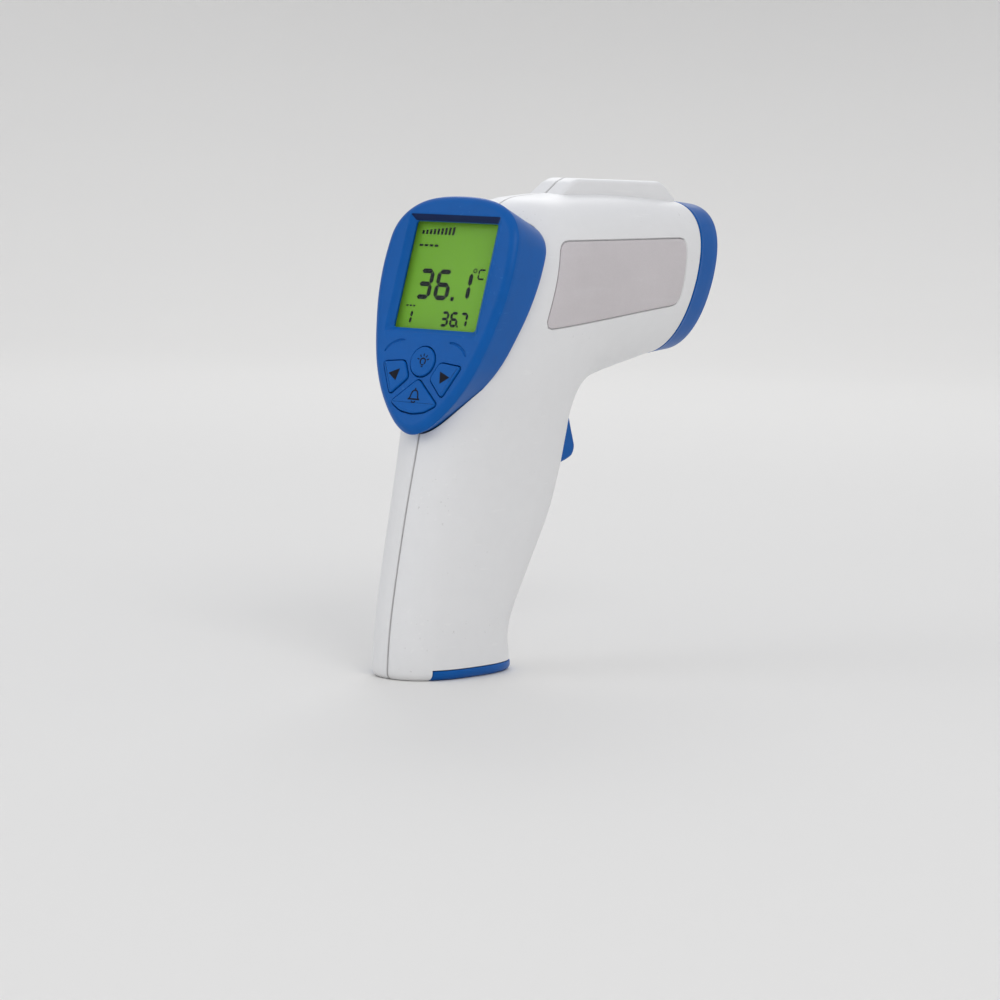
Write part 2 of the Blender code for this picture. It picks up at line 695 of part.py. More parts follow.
def build_trigger():
    """Trigger, its pin, return spring, push switch, plunger and switch board."""
    outline = [spline(TRIGGER_OUTLINE, 9.0 * i / 18) for i in range(19)] + list(TRIGGER_OUTLINE[10:])
    rings = []
    for x, inset in ((-TRIGGER_HALF, 1.0), (-TRIGGER_HALF + 1.0, 0.0), (TRIGGER_HALF - 1.0, 0.0),
                     (TRIGGER_HALF, 1.0)):
        moved = []
        for y, z in outline:
            out = 1.0 if y > 2.0 else 0.0
            moved.append(Vector((x, y - inset * out * 0.8, z)))
        rings.append(moved)
    trigger = finish("trigger", loft(rings), (BLUE, 0.38), origin=(0.0, PIVOT_Y, PIVOT_Z))
    bore = finish("cut_pin", side_prism(circle(1.3, 16, (PIVOT_Y, PIVOT_Z)), -9.0, 9.0), None, helper=True)
    combine(trigger, bore, "DIFFERENCE")
    notch = finish("cut_notch", slab((-2.2, -8.0, 76.2), (2.2, 2.6, 84.0)), None, helper=True)
    combine(trigger, notch, "DIFFERENCE")
    finish("trigger_pin", side_prism(circle(1.0, 16, (PIVOT_Y, PIVOT_Z)), -7.3, 7.3), (STEEL, 0.3, 1.0))
    coil_points = []
    turns = 3
    per_turn = 10
    coil_r = 1.85
    pitch = 0.95
    coil_points.append(Vector((-1.45, PIVOT_Y - 6.4, PIVOT_Z + 1.0)))
    coil_points.append(Vector((-1.45, PIVOT_Y - 3.2, PIVOT_Z + 1.7)))
    for i in range(turns * per_turn + 1):
        angle = math.pi / 2 + 2.0 * math.pi * i / per_turn
        x = -1.45 + pitch * i / per_turn
        coil_points.append(Vector((x, PIVOT_Y + coil_r * math.cos(angle), PIVOT_Z + coil_r * math.sin(angle))))
    finish("trigger_spring", tube(coil_points, 0.3), (STEEL, 0.3, 1.0))
    switch = finish("trigger_switch", slab((-3.0, -12.3, 63.0), (3.0, -8.4, 69.0)), (BLACK, 0.5))
    well = finish("cut_switch_well", side_circle_y(1.8, -10.6, -8.0, 66.0, 14), None, helper=True)
    combine(switch, well, "DIFFERENCE")
    pin = side_circle_y(1.5, -8.6, -4.75, 66.0, 14)
    finish("switch_plunger", pin, ((0.8, 0.8, 0.8), 0.5), origin=(0.0, -8.1, 66.0))
    finish("switch_board", slab((-6.0, -14.2, 58.5), (6.0, -12.6, 73.5)), (BOARD, 0.4))


def side_circle_y(radius, low, high, z, count, x=0.0):
    """A round bar along Y."""
    rings = [[Vector((x + a, y, z + b)) for a, b in circle(radius, count)] for y in (low, high)]
    return loft(rings)


def tube(points, radius, count=6):
    """A round bar swept along a line of points, with flat ends."""
    rings = []
    up = Vector((0.0, 0.0, 1.0))
    last = None
    for i, point in enumerate(points):
        before = points[max(i - 1, 0)]
        after = points[min(i + 1, len(points) - 1)]
        along = (after - before).normalized()
        if last is None:
            side = along.cross(up)
            if side.length < 0.1:
                side = along.cross(Vector((1.0, 0.0, 0.0)))
        else:
            side = last - along * last.dot(along)
        side.normalize()
        last = side
        other = along.cross(side)
        ring = []
        for k in range(count):
            angle = 2.0 * math.pi * k / count
            ring.append(point + (side * math.cos(angle) + other * math.sin(angle)) * radius)
        rings.append(ring)
    return loft(rings)


def ribbon(points, half):
    """Outline of a bent strip of even thickness along a side-view line."""
    over = []
    under = []
    for i, point in enumerate(points):
        before = points[max(i - 1, 0)]
        after = points[min(i + 1, len(points) - 1)]
        along = (after - before).normalized()
        normal = Vector((-along.y, along.x)) * half
        over.append(tuple(point + normal))
        under.append(tuple(point - normal))
    return over + list(reversed(under))


def bend(points, per_span=4):
    """Smooth line through a few points."""
    flat = [tuple(p) for p in points]
    total = (len(flat) - 1) * per_span
    return [Vector(spline(flat, i / per_span)) for i in range(total + 1)]


def grip_point(x, f, l):
    """World point of grip coordinates: x across, f forwards, l up the leaning grip."""
    y = CELL_Y + f * math.cos(GRIP_LEAN) + l * math.sin(GRIP_LEAN)
    z = CELL_Z - f * math.sin(GRIP_LEAN) + l * math.cos(GRIP_LEAN)
    return Vector((x, y, z))


def grip_prism(points, low, high):
    """A solid over an outline (x, f) between two positions along the grip."""
    return prism(points, low, high, grip_point)


def build_power():
    """Battery tray, two cells, contacts, wires and the hinged base door."""
    tray_outline = ((-11.2, -6.6), (11.2, -6.6), (11.2, -5.5), (-11.2, -5.5))
    top = CELL_LONG + 3.4
    tray = finish("battery_tray", grip_prism(tray_outline, -2.0, top + 1.2), ((0.10, 0.10, 0.11), 0.55))
    cap = finish("join_tray_top", grip_prism(((-11.2, -6.4), (11.2, -6.4), (11.2, 5.6), (-11.2, 5.6)),
                                            top, top + 1.2), None, helper=True)
    combine(tray, cap, "UNION")
    rib = finish("join_tray_rib", grip_prism(((-0.25, -6.2), (0.25, -6.2), (0.25, -2.0), (-0.25, -2.0)),
                                            2.0, top + 0.6), None, helper=True)
    combine(tray, rib, "UNION")
    for i, x in enumerate((-5.6, 5.6)):
        flip = i == 1
        lengths = ((CELL_R - 0.5, 0.0), (CELL_R, 0.5), (CELL_R, CELL_LONG - 0.5), (CELL_R - 0.6, CELL_LONG),
                   (1.9, CELL_LONG), (1.9, CELL_LONG + 0.9))
        rings = []
        for radius, l in lengths:
            here = CELL_LONG + 1.0 - l if flip else l + 0.6
            rings.append([grip_point(x + a, b, here) for a, b in circle(radius, 20)])
        finish("battery_%d" % (i + 1), loft(rings), ((0.85, 0.55, 0.10), 0.3, 0.6))
    plate_low = CELL_LONG + 2.55
    for name, x, sign in (("contact_plus", -5.6, 1), ("contact_minus", 5.6, -1)):
        outline = rounded_rect(4.2, 4.2, 0.8, 1, (x, 0.0))
        finish(name, grip_prism(outline, plate_low, plate_low + 0.45), (STEEL, 0.3, 1.0))
    build_door()
    leaf = [Vector(p) for p in ((-53.0, 3.5), (-44.5, 3.5), (-36.8, 3.5), (-35.0, 5.0), (-36.6, 7.3),
                                (-40.6, 8.9), (-48.3, 10.65))]
    finish("contact_bridge", side_prism(ribbon(leaf, 0.22), -9.2, 9.2), (STEEL, 0.3, 1.0))
    red = [grip_point(-5.6, -1.5, plate_low + 2.5), Vector((-7.0, -30.0, 68.0)), Vector((-8.0, -33.0, 80.0)),
           Vector((-6.0, -35.5, 92.0)), face_point(-6.0, -9.0, -11.4)]
    black = [grip_point(5.6, -1.5, plate_low + 2.5), Vector((7.0, -30.0, 68.0)), Vector((8.0, -33.0, 80.0)),
             Vector((6.5, -35.5, 92.0)), face_point(6.5, -9.0, -11.4)]
    finish("wire_red", tube(bend(red), 0.6), ((0.6, 0.02, 0.02), 0.5))
    finish("wire_black", tube(bend(black), 0.6), (BLACK, 0.5))
    lead = [Vector((0.0, SENSOR_Y - 19.4, SENSOR_Z)), Vector((0.0, SENSOR_Y - 26.0, SENSOR_Z)),
            Vector((0.0, 2.0, 120.5)), Vector((2.0, -18.0, 121.0)), face_point(3.0, 20.0, -15.0),
            face_point(3.0, 20.0, -11.0)]
    finish("sensor_cable", tube(bend(lead), 1.0), ((0.5, 0.5, 0.52), 0.6))
    switch_lead = [Vector((0.0, -14.6, 70.5)), Vector((0.0, -19.0, 72.0)), Vector((0.0, -28.0, 84.0)),
                   face_point(0.0, -2.5, -14.5), face_point(0.0, -2.5, -11.0)]
    finish("switch_cable", tube(bend(switch_lead), 0.8), ((0.3, 0.3, 0.32), 0.6))


def build_door():
    """The blue base door: the foot of the grip from its front to just before its back."""
    count = 36
    rings = []
    for z in (0.0, 0.6, 1.5, DOOR_HIGH):
        ring = []
        for i in range(count):
            theta = 2.0 * math.pi * i / count
            point = section(z / 5.0, theta, foot_inset(z))
            point.z = z
            ring.append(point)
        rings.append(ring)
    door = finish("battery_door", loft(rings), (BLUE, 0.38), origin=(0.0, DOOR_PIVOT_Y, DOOR_PIVOT_Z))
    back = finish("cut_door_back", slab((-30.0, -90.0, -5.0), (30.0, DOOR_BACK + GAP, 8.0)), None, helper=True)
    combine(door, back, "DIFFERENCE")


def build_screws():
    """Housing screws, entered from the left side."""
    for i, (y, z) in enumerate(SCREWS):
        screw("housing_screw_%d" % (i + 1), Vector((-4.3, y, z)), Vector((-1.0, 0.0, 0.0)), 2.3, 1.4, 1.2, 12.6)


def main():
    """Model every piece."""
    clear_scene()
    build_housings()
    build_bezel()
    build_labels()
    build_display()
    build_keys()
    build_nozzle()
    build_trigger()
    build_power()
    build_screws()


main()
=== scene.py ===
"""Studio scene of a hand-held infrared forehead thermometer.

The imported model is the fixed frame.  Every skin that shows is built here as a finer piece in
the place of its solid, and the pieces inside the case get their finishes and small fittings.
Lengths in the classes are millimetres; a mesh turns them into metres.  +Z is up, +Y is the
way the nozzle looks and +X is the user's right.
"""
import json
import logging
import math
import random
from dataclasses import dataclass, field
from enum import Enum
from functools import lru_cache
from typing import Callable, Iterable, Sequence

import bmesh
import bpy
from mathutils import Matrix, Vector

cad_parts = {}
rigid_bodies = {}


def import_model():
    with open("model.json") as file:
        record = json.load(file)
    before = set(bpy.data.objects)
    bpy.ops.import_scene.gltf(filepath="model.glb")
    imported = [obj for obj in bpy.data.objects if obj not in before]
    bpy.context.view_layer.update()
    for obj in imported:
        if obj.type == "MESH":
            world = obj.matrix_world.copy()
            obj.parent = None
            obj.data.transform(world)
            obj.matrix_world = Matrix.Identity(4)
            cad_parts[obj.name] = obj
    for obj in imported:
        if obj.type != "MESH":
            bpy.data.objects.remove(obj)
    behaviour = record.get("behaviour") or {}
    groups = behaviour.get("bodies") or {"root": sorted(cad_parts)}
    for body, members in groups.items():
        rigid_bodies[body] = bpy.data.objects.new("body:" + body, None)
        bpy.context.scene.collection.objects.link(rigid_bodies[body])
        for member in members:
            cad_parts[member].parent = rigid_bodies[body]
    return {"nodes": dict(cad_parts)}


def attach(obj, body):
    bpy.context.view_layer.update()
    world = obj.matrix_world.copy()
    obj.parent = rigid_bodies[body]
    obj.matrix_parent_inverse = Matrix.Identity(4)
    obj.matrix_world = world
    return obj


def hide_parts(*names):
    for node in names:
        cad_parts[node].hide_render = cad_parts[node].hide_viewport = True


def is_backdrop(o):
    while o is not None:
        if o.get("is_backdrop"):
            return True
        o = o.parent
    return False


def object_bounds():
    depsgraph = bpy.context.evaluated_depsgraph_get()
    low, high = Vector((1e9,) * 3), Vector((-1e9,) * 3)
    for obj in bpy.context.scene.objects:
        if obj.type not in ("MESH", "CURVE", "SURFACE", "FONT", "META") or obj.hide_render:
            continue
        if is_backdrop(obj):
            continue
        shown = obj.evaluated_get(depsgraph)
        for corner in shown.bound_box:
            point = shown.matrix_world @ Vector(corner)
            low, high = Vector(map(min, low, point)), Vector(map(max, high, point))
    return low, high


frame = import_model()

MM = 0.001  # metres in a millimetre
UNIT = Vector((1.0, 1.0, 1.0))  # a copy left at its own size
HALVINGS = 26  # steps of each bisection
RIM_STEPS = 3  # rings in a prism's rounded rim
GAP = 0.3  # clearance between parts, mm
BEZEL_LIFT = 0.3  # the bezel's outer edge off its seat, mm
DOOR_BACK = -61.0  # the battery door's straight back edge, mm
DOOR_HIGH = 2.9  # the battery door's height, mm
BOARD_SCREWS = ((-15.5, 24.5), (15.5, 24.5), (-12.5, -11.0), (12.5, -11.0))  # on the display face, mm

Outline = list[tuple[float, float]]
Ring = list[Vector]
Colour = tuple[float, float, float]
Place = Callable[[float, float, float], Vector]

log = logging.getLogger("thermometer")


class Body(Enum):
    """The moving bodies of the frame."""

    MAIN = "main"
    TRIGGER = "trigger_arm"
    PLUNGER = "plunger"
    DOOR = "door"
    LIGHT_KEY = "button_light_key"
    LEFT_KEY = "button_left_key"
    RIGHT_KEY = "button_right_key"
    SOUND_KEY = "button_sound_key"


class Side(Enum):
    """The two halves of the case."""

    LEFT = -1
    RIGHT = 1


# ---------------------------------------------------------------- shader maths and finishes


def _operator(operation: str, reflected: bool = False) -> Callable[..., "Wire"]:
    """A Python operator that adds one Math node.

    Args:
        operation: The node's operation.
        reflected: Whether the operands change places.

    Returns:
        The operator's method.
    """
    def apply(self: "Wire", other: "Feed" = 0.0) -> "Wire":
        """Add the node and give its output."""
        first, second = (other, self) if reflected else (self, other)
        return self.graph.node("ShaderNodeMath", {"operation": operation}, {0: first, 1: second})

    return apply


class Wire:
    """A shader socket that Python's operators extend with Math nodes."""

    __add__ = _operator("ADD")
    __radd__ = _operator("ADD", reflected=True)
    __sub__ = _operator("SUBTRACT")
    __rsub__ = _operator("SUBTRACT", reflected=True)
    __mul__ = _operator("MULTIPLY")
    __abs__ = _operator("ABSOLUTE")
    wave = _operator("SINE")

    def __init__(self, graph: "Graph", socket: bpy.types.NodeSocket) -> None:
        """Keep a graph's output socket."""
        self.graph = graph
        self.socket = socket


Feed = Wire | float | int | tuple


class Graph:
    """The node graph of one material."""

    def __init__(self, name: str) -> None:
        """Start a material with a Principled shader.

        Args:
            name: The material's name.
        """
        self.material = bpy.data.materials.new(name)
        self.material.use_nodes = True
        self.tree = self.material.node_tree
        self.shader = next(n for n in self.tree.nodes if n.type == "BSDF_PRINCIPLED")

    def node(self, kind: str, settings: dict[str, object] | None = None,
             values: dict[str | int, Feed] | None = None, out: str | int = 0) -> Wire:
        """Add a node.

        Args:
            kind: The node's type.
            settings: Its settings, set first.
            values: A value or a wire for each socket.
            out: The output that is wanted.

        Returns:
            That output.
        """
        made = self.tree.nodes.new(kind)
        for key, value in (settings or {}).items():
            setattr(made, key, value)
        self.feed(made, values or {})
        return Wire(self, made.outputs[out])

    def feed(self, made: bpy.types.Node, values: dict[str | int, Feed]) -> None:
        """Set or link a node's sockets.

        Args:
            made: The node.
            values: A value or a wire for each socket.
        """
        for key, value in values.items():
            socket = made.inputs[key]
            if isinstance(value, Wire):
                self.tree.links.new(value.socket, socket)
            elif isinstance(value, tuple) and len(value) == 3 and socket.type == "RGBA":
                socket.default_value = (*value, 1.0)
            else:
                socket.default_value = value

    def coords(self) -> Wire:
        """Object coordinates, which are the frame's, in metres."""
        return self.node("ShaderNodeTexCoord", out="Object")

    def placed(self, coords: Wire, scale: tuple[float, float, float] = (1.0, 1.0, 1.0),
               turn: tuple[float, float, float] = (0.0, 0.0, 0.0),
               shift: tuple[float, float, float] = (0.0, 0.0, 0.0)) -> Wire:
        """Coordinates moved back by a shift, turned and stretched.

        Args:
            coords: The coordinates.
            scale: The stretch along each axis.
            turn: The turn about each axis, in radians.
            shift: The point that becomes the centre, in metres.

        Returns:
            The new coordinates.
        """
        centred = self.node("ShaderNodeVectorMath", {"operation": "SUBTRACT"}, {0: coords, 1: shift})
        return self.node("ShaderNodeMapping", {"vector_type": "POINT"},
                         {"Vector": centred, "Scale": scale, "Rotation": turn})

    def axis(self, coords: Wire, name: str) -> Wire:
        """The X, Y or Z component of a vector."""
        return self.node("ShaderNodeSeparateXYZ", None, {0: coords}, name)

    def noise(self, coords: Wire, scale: float, detail: float = 2.0, rough: float = 0.5) -> Wire:
        """Noise about a half, from 0 to 1."""
        return self.node("ShaderNodeTexNoise", None, {
            "Vector": coords, "Scale": scale, "Detail": detail, "Roughness": rough})

    def cells(self, coords: Wire, scale: float) -> Wire:
        """Distance to the nearest point of a Voronoi pattern."""
        return self.node("ShaderNodeTexVoronoi", None, {"Vector": coords, "Scale": scale}, "Distance")

    def step(self, value: Wire, low: float, high: float) -> Wire:
        """A smooth step from 0 at low to 1 at high."""
        return self.node("ShaderNodeMapRange", {"interpolation_type": "SMOOTHSTEP"},
                         {0: value, 1: low, 2: high, 3: 0.0, 4: 1.0})

    def span(self, value: Wire, low: float, high: float) -> Wire:
        """A value of 0 to 1 spread from low to high."""
        return value * (high - low) + low

    def blend(self, factor: Feed, first: Feed, second: Feed) -> Wire:
        """Mix two colours."""
        return self.node("ShaderNodeMix", {"data_type": "RGBA"}, {"Factor": factor, 6: first, 7: second}, 2)

    def bump(self, height: Wire, distance: float) -> Wire:
        """A normal from a height of 0 to 1, where 1 stands for a distance in metres."""
        return self.node("ShaderNodeBump", None, {"Height": height, "Distance": distance, "Strength": 1.0},
                         "Normal")


@dataclass(frozen=True)
class Finish:
    """What a surface is made of; a child says how it is painted."""

    name: str

    def paint(self, graph: Graph) -> dict[str | int, Feed]:
        """Values and wires for the Principled shader's sockets."""
        raise NotImplementedError

    def material(self) -> bpy.types.Material:
        """The finish's material, made once."""
        found = bpy.data.materials.get(self.name)
        if found is None:
            graph = Graph(self.name)
            graph.feed(graph.shader, self.paint(graph))
            found = graph.material
        return found


def shade(colour: Colour, by: float) -> Colour:
    """A colour made lighter or darker by a factor."""
    return tuple(min(max(c * by, 0.0), 1.0) for c in colour)


@dataclass(frozen=True)
class MouldedPlastic(Finish):
    """Injection-moulded shell plastic: fine spark grain, faint cloudiness, handling marks."""

    colour: Colour = (0.8, 0.8, 0.8)
    worn: Colour = (0.9, 0.9, 0.9)
    soil: Colour = (0.4, 0.38, 0.35)
    roughness: float = 0.4
    grain: float = 2600.0
    depth: float = 0.000012
    cloud: float = 0.03
    seam_soil: bool = False
    gloss: float = 0.45

    def paint(self, graph: Graph) -> dict[str | int, Feed]:
        """Cloudy colour, grain, scuffs, and dust along the seam."""
        at = graph.coords()
        clouds = graph.noise(at, 22.0, 4.0, 0.55)
        mottle = graph.noise(at, 240.0, 3.0, 0.6)
        grain = graph.noise(at, self.grain, 2.0, 0.5)
        pits = graph.cells(at, self.grain * 0.45)
        mixed = clouds * 0.65 + mottle * 0.35
        base = graph.blend(graph.step(mixed, 0.3, 0.7), shade(self.colour, 1.0 - self.cloud),
                           shade(self.colour, 1.0 + self.cloud))
        drawn = graph.placed(at, (1.0, 0.06, 1.0), (0.6, 0.3, 0.9))
        hair = graph.step(graph.noise(drawn, 900.0, 1.0, 0.4), 0.66, 0.73)
        where = graph.step(graph.noise(at, 55.0, 2.0), 0.52, 0.68)
        scuff = hair * where
        base = graph.blend(scuff * 0.35, base, self.worn)
        specks = graph.step(graph.noise(at, 1100.0, 1.0), 0.72, 0.78) * where
        base = graph.blend(specks * 0.30, base, self.soil)
        # darker towards the bottom: below 4 mm the colour blends a little towards the soil tone
        low = graph.step(graph.axis(at, "Z"), 0.004, 0.0)
        base = graph.blend(low * mottle * 0.12, base, self.soil)
        if self.seam_soil:
            seam = graph.step(abs(graph.axis(at, "X")), 0.00075, 0.00012)
            base = graph.blend(seam * graph.span(mottle, 0.35, 1.0) * 0.55, base, self.soil)
        rough = self.roughness + (clouds - 0.5) * 0.10 + (mottle - 0.5) * 0.10 + scuff * 0.12
        height = grain * 0.6 + pits * 0.4 + clouds * 0.5
        return {"Base Color": base, "Roughness": rough, "Normal": graph.bump(height, self.depth),
                "Specular IOR Level": self.gloss}


@dataclass(frozen=True)
class BezelPlastic(MouldedPlastic):
    """The bezel's blue, with painted shade: the window's upper bevel is painted dark navy to stand for its shadow."""

    # painted shade colour for the window's upper bevel
    painted_shade_navy: Colour = (0.001, 0.006, 0.045)

    def paint(self, graph: Graph) -> dict[str | int, Feed]:
        """The shell's paint with a mitred band of painted shade above the window."""
        values = super().paint(graph)
        at = graph.placed(graph.coords(), turn=(FACE.tilt, 0.0, 0.0), shift=(0.0, FACE.y * MM, FACE.z * MM))
        rise = graph.axis(at, "Z") - BezelCup.lcd_high * MM
        mitre = rise - (abs(graph.axis(at, "X")) - BezelCup.lcd_half * MM)
        # painted shade: the downward-facing bevel above the window is darkened to navy, standing for the shadow it
        # lies in
        band = graph.step(rise, 0.00002, 0.00010) * graph.step(rise, 0.00180, 0.00172)
        band = band * graph.step(mitre, -0.00006, 0.00006) * graph.step(graph.axis(at, "Y"), 0.00004, 0.00012)
        values["Base Color"] = graph.blend(band * 0.9, values["Base Color"], self.painted_shade_navy)
        return values


@dataclass(frozen=True)
class PrintedFilm(Finish):
    """The grey side plates: velvet polycarbonate film with a fine stipple."""

    colour: Colour = (0.610, 0.574, 0.590)

    def paint(self, graph: Graph) -> dict[str | int, Feed]:
        """Stippled, faintly rubbed film."""
        at = graph.coords()
        clouds = graph.noise(at, 30.0, 4.0, 0.6)
        dots = graph.cells(at, 1500.0)
        rub = graph.step(graph.noise(graph.placed(at, (1.0, 0.12, 1.0)), 260.0, 3.0), 0.5, 0.75)
        base = graph.blend(graph.step(clouds, 0.3, 0.7), shade(self.colour, 0.965), shade(self.colour, 1.03))
        base = graph.blend(graph.step(dots, 0.25, 0.6) * 0.10, base, shade(self.colour, 0.8))
        base = graph.blend(rub * 0.10, base, (0.75, 0.74, 0.76))
        rough = 0.52 + (clouds - 0.5) * 0.12 - rub * 0.10
        return {"Base Color": base, "Roughness": rough, "Normal": graph.bump(dots + clouds * 0.4, 0.00001)}


@dataclass(frozen=True)
class LiquidCrystal(Finish):
    """The display's green: reflector sheet behind polarising film, brighter at its lower edge."""

    colour: Colour = (0.175, 0.43, 0.026)
    glow: float = 0.12

    def paint(self, graph: Graph) -> dict[str | int, Feed]:
        """Even green with a fine reflector grain and a soft fall-off from the light guide."""
        at = graph.coords()
        grain = graph.noise(at, 3200.0, 2.0, 0.6)
        clouds = graph.noise(at, 60.0, 3.0, 0.5)
        rise = graph.step(graph.axis(at, "Z"), 0.098, 0.138)
        base = graph.blend(graph.step(grain * 0.5 + clouds * 0.5, 0.35, 0.65), shade(self.colour, 0.94),
                           shade(self.colour, 1.05))
        base = graph.blend(rise * 0.5, base, shade(self.colour, 0.93))
        rough = 0.30 + (grain - 0.5) * 0.12
        return {"Base Color": base, "Roughness": rough, "Normal": graph.bump(grain, 0.000006),
                "Emission Color": base, "Emission Strength": self.glow, "Specular IOR Level": 0.15}


@dataclass(frozen=True)
class ClearPane(Finish):
    """The hard-coated acrylic display lens."""

    alpha: float = 0.05

    def paint(self, graph: Graph) -> dict[str | int, Feed]:
        """Nearly clear, with a trace of dust and wiping marks."""
        at = graph.coords()
        wipe = graph.step(graph.noise(graph.placed(at, (0.15, 1.0, 1.0), (0.0, 0.4, 0.0)), 500.0, 2.0), 0.58, 0.72)
        dust = graph.step(graph.noise(at, 1400.0, 1.0), 0.70, 0.76)
        base = graph.blend(dust, (0.10, 0.14, 0.12), (0.6, 0.6, 0.58))
        return {"Base Color": base, "Roughness": 0.05 + wipe * 0.06, "Alpha": self.alpha + dust * 0.05,
                "IOR": 1.49, "Normal": graph.bump(wipe, 0.000002)}


@dataclass(frozen=True)
class Ink(Finish):
    """Display segments and key signs: a thin opaque print."""

    colour: Colour = (0.004, 0.005, 0.006)
    roughness: float = 0.5
    gloss: float = 0.12

    def paint(self, graph: Graph) -> dict[str | int, Feed]:
        """Near-black print with screen grain and slightly thin spots."""
        at = graph.coords()
        grain = graph.noise(at, 2400.0, 2.0)
        thin = graph.step(graph.noise(at, 500.0, 3.0), 0.6, 0.75)
        base = graph.blend(grain, self.colour, shade(self.colour, 2.4))
        base = graph.blend(thin * 0.25, base, (0.02, 0.022, 0.025))
        return {"Base Color": base, "Roughness": self.roughness + (grain - 0.5) * 0.2,
                "Normal": graph.bump(grain, 0.000004), "Specular IOR Level": self.gloss}


@dataclass(frozen=True)
class PlatedMetal(Finish):
    """Plated or drawn metal with fine tool lines and faint tarnish."""

    colour: Colour = (0.62, 0.62, 0.63)
    tarnish: Colour = (0.42, 0.38, 0.32)
    roughness: float = 0.28
    lines: tuple[float, float, float] = (1.0, 0.05, 1.0)

    def paint(self, graph: Graph) -> dict[str | int, Feed]:
        """Bright metal, streaked along one direction."""
        at = graph.coords()
        streak = graph.noise(graph.placed(at, self.lines), 2600.0, 3.0, 0.6)
        spots = graph.step(graph.noise(at, 260.0, 4.0, 0.6), 0.52, 0.72)
        base = graph.blend(streak, shade(self.colour, 0.9), shade(self.colour, 1.08))
        base = graph.blend(spots * 0.35, base, self.tarnish)
        return {"Base Color": base, "Metallic": 1.0 - spots * 0.12,
                "Roughness": self.roughness + (streak - 0.5) * 0.16 + spots * 0.15,
                "Normal": graph.bump(streak, 0.000006)}


@dataclass(frozen=True)
class SolderMask(Finish):
    """Circuit board: green mask over copper runs, with a fine glass weave."""

    colour: Colour = (0.012, 0.13, 0.045)
    lean: float = 0.0

    def paint(self, graph: Graph) -> dict[str | int, Feed]:
        """Mask colour, lighter where copper lies under it, and plated pads."""
        at = graph.placed(graph.coords(), turn=(self.lean, 0.0, 0.0), shift=(0.0, -0.05, 0.11))
        weave = (graph.axis(at, "X") * 9000.0).wave() * (graph.axis(at, "Z") * 9000.0).wave()
        runs = graph.node("ShaderNodeTexBrick", {"offset": 0.37, "squash": 1.7, "squash_frequency": 3}, {
            "Vector": graph.placed(at, turn=(math.pi / 2, 0.0, 0.0)), "Scale": 300.0,
            "Mortar Size": 0.09, "Mortar Smooth": 0.1, "Bias": 0.0, "Brick Width": 1.9, "Row Height": 0.42},
            "Fac")
        pads = graph.step(graph.cells(at, 420.0), 0.16, 0.12)
        base = graph.blend(runs, self.colour, shade(self.colour, 2.1))
        base = graph.blend(pads, base, (0.72, 0.68, 0.55))
        rough = 0.34 + graph.noise(at, 900.0, 2.0) * 0.14
        return {"Base Color": base, "Roughness": rough, "Metallic": pads * 0.9,
                "Normal": graph.bump(runs * 0.7 + weave * 0.12, 0.00002)}


@dataclass(frozen=True)
class SoftRubber(Finish):
    """Silicone of the key mat and the lead skins."""

    colour: Colour = (0.62, 0.62, 0.60)
    roughness: float = 0.72

    def paint(self, graph: Graph) -> dict[str | int, Feed]:
        """Dull, slightly dusty rubber."""
        at = graph.coords()
        dust = graph.noise(at, 700.0, 4.0, 0.65)
        clouds = graph.noise(at, 70.0, 3.0)
        base = graph.blend(dust * 0.6 + clouds * 0.4, shade(self.colour, 0.86), shade(self.colour, 1.12))
        return {"Base Color": base, "Roughness": self.roughness + (dust - 0.5) * 0.2,
                "Normal": graph.bump(dust, 0.00002)}


SLEEVE_BLACK = (0.02, 0.021, 0.024)
SLEEVE_COPPER = (0.55, 0.24, 0.05)


@dataclass(frozen=True)
class CellSleeve(Finish):
    """Shrink sleeve of a battery: two plain tones with a metallic ring between them."""

    lean: float = 0.2182
    split: float = 0.030
    centre: tuple[float, float, float] = (0.0, -0.0445, 0.0105)
    lower: Colour = SLEEVE_BLACK
    upper: Colour = SLEEVE_COPPER

    def paint(self, graph: Graph) -> dict[str | int, Feed]:
        """Two bands along the cell, with a metallic ring between them."""
        at = graph.placed(graph.coords(), turn=(self.lean, 0.0, 0.0), shift=self.centre)
        along = graph.axis(at, "Z")
        wrinkle = graph.noise(graph.placed(at, (1.0, 1.0, 0.1)), 1500.0, 2.0)
        upper = graph.step(along, self.split, self.split + 0.0002)
        ring = graph.step(abs(along - self.split), 0.0007, 0.0005)
        base = graph.blend(upper, self.lower, self.upper)
        base = graph.blend(ring, base, (0.75, 0.72, 0.6))
        base = graph.blend(graph.step(wrinkle, 0.55, 0.8) * 0.2, base, (0.6, 0.6, 0.6))
        return {"Base Color": base, "Metallic": upper * 0.75 + ring * 0.2,
                "Roughness": 0.24 + wrinkle * 0.2, "Normal": graph.bump(wrinkle, 0.00001)}


@dataclass(frozen=True)
class StripedRubber(Finish):
    """The contact strip: dark conducting layers between pink insulating ones."""

    def paint(self, graph: Graph) -> dict[str | int, Feed]:
        """Fine stripes across the strip."""
        at = graph.coords()
        stripe = graph.step((graph.axis(at, "X") * 26000.0).wave(), -0.2, 0.2)
        grain = graph.noise(at, 1800.0, 2.0)
        base = graph.blend(stripe, (0.03, 0.03, 0.03), (0.62, 0.34, 0.36))
        base = graph.blend(grain * 0.2, base, (0.5, 0.4, 0.4))
        return {"Base Color": base, "Roughness": 0.6 + grain * 0.2, "Normal": graph.bump(grain + stripe, 0.00001)}


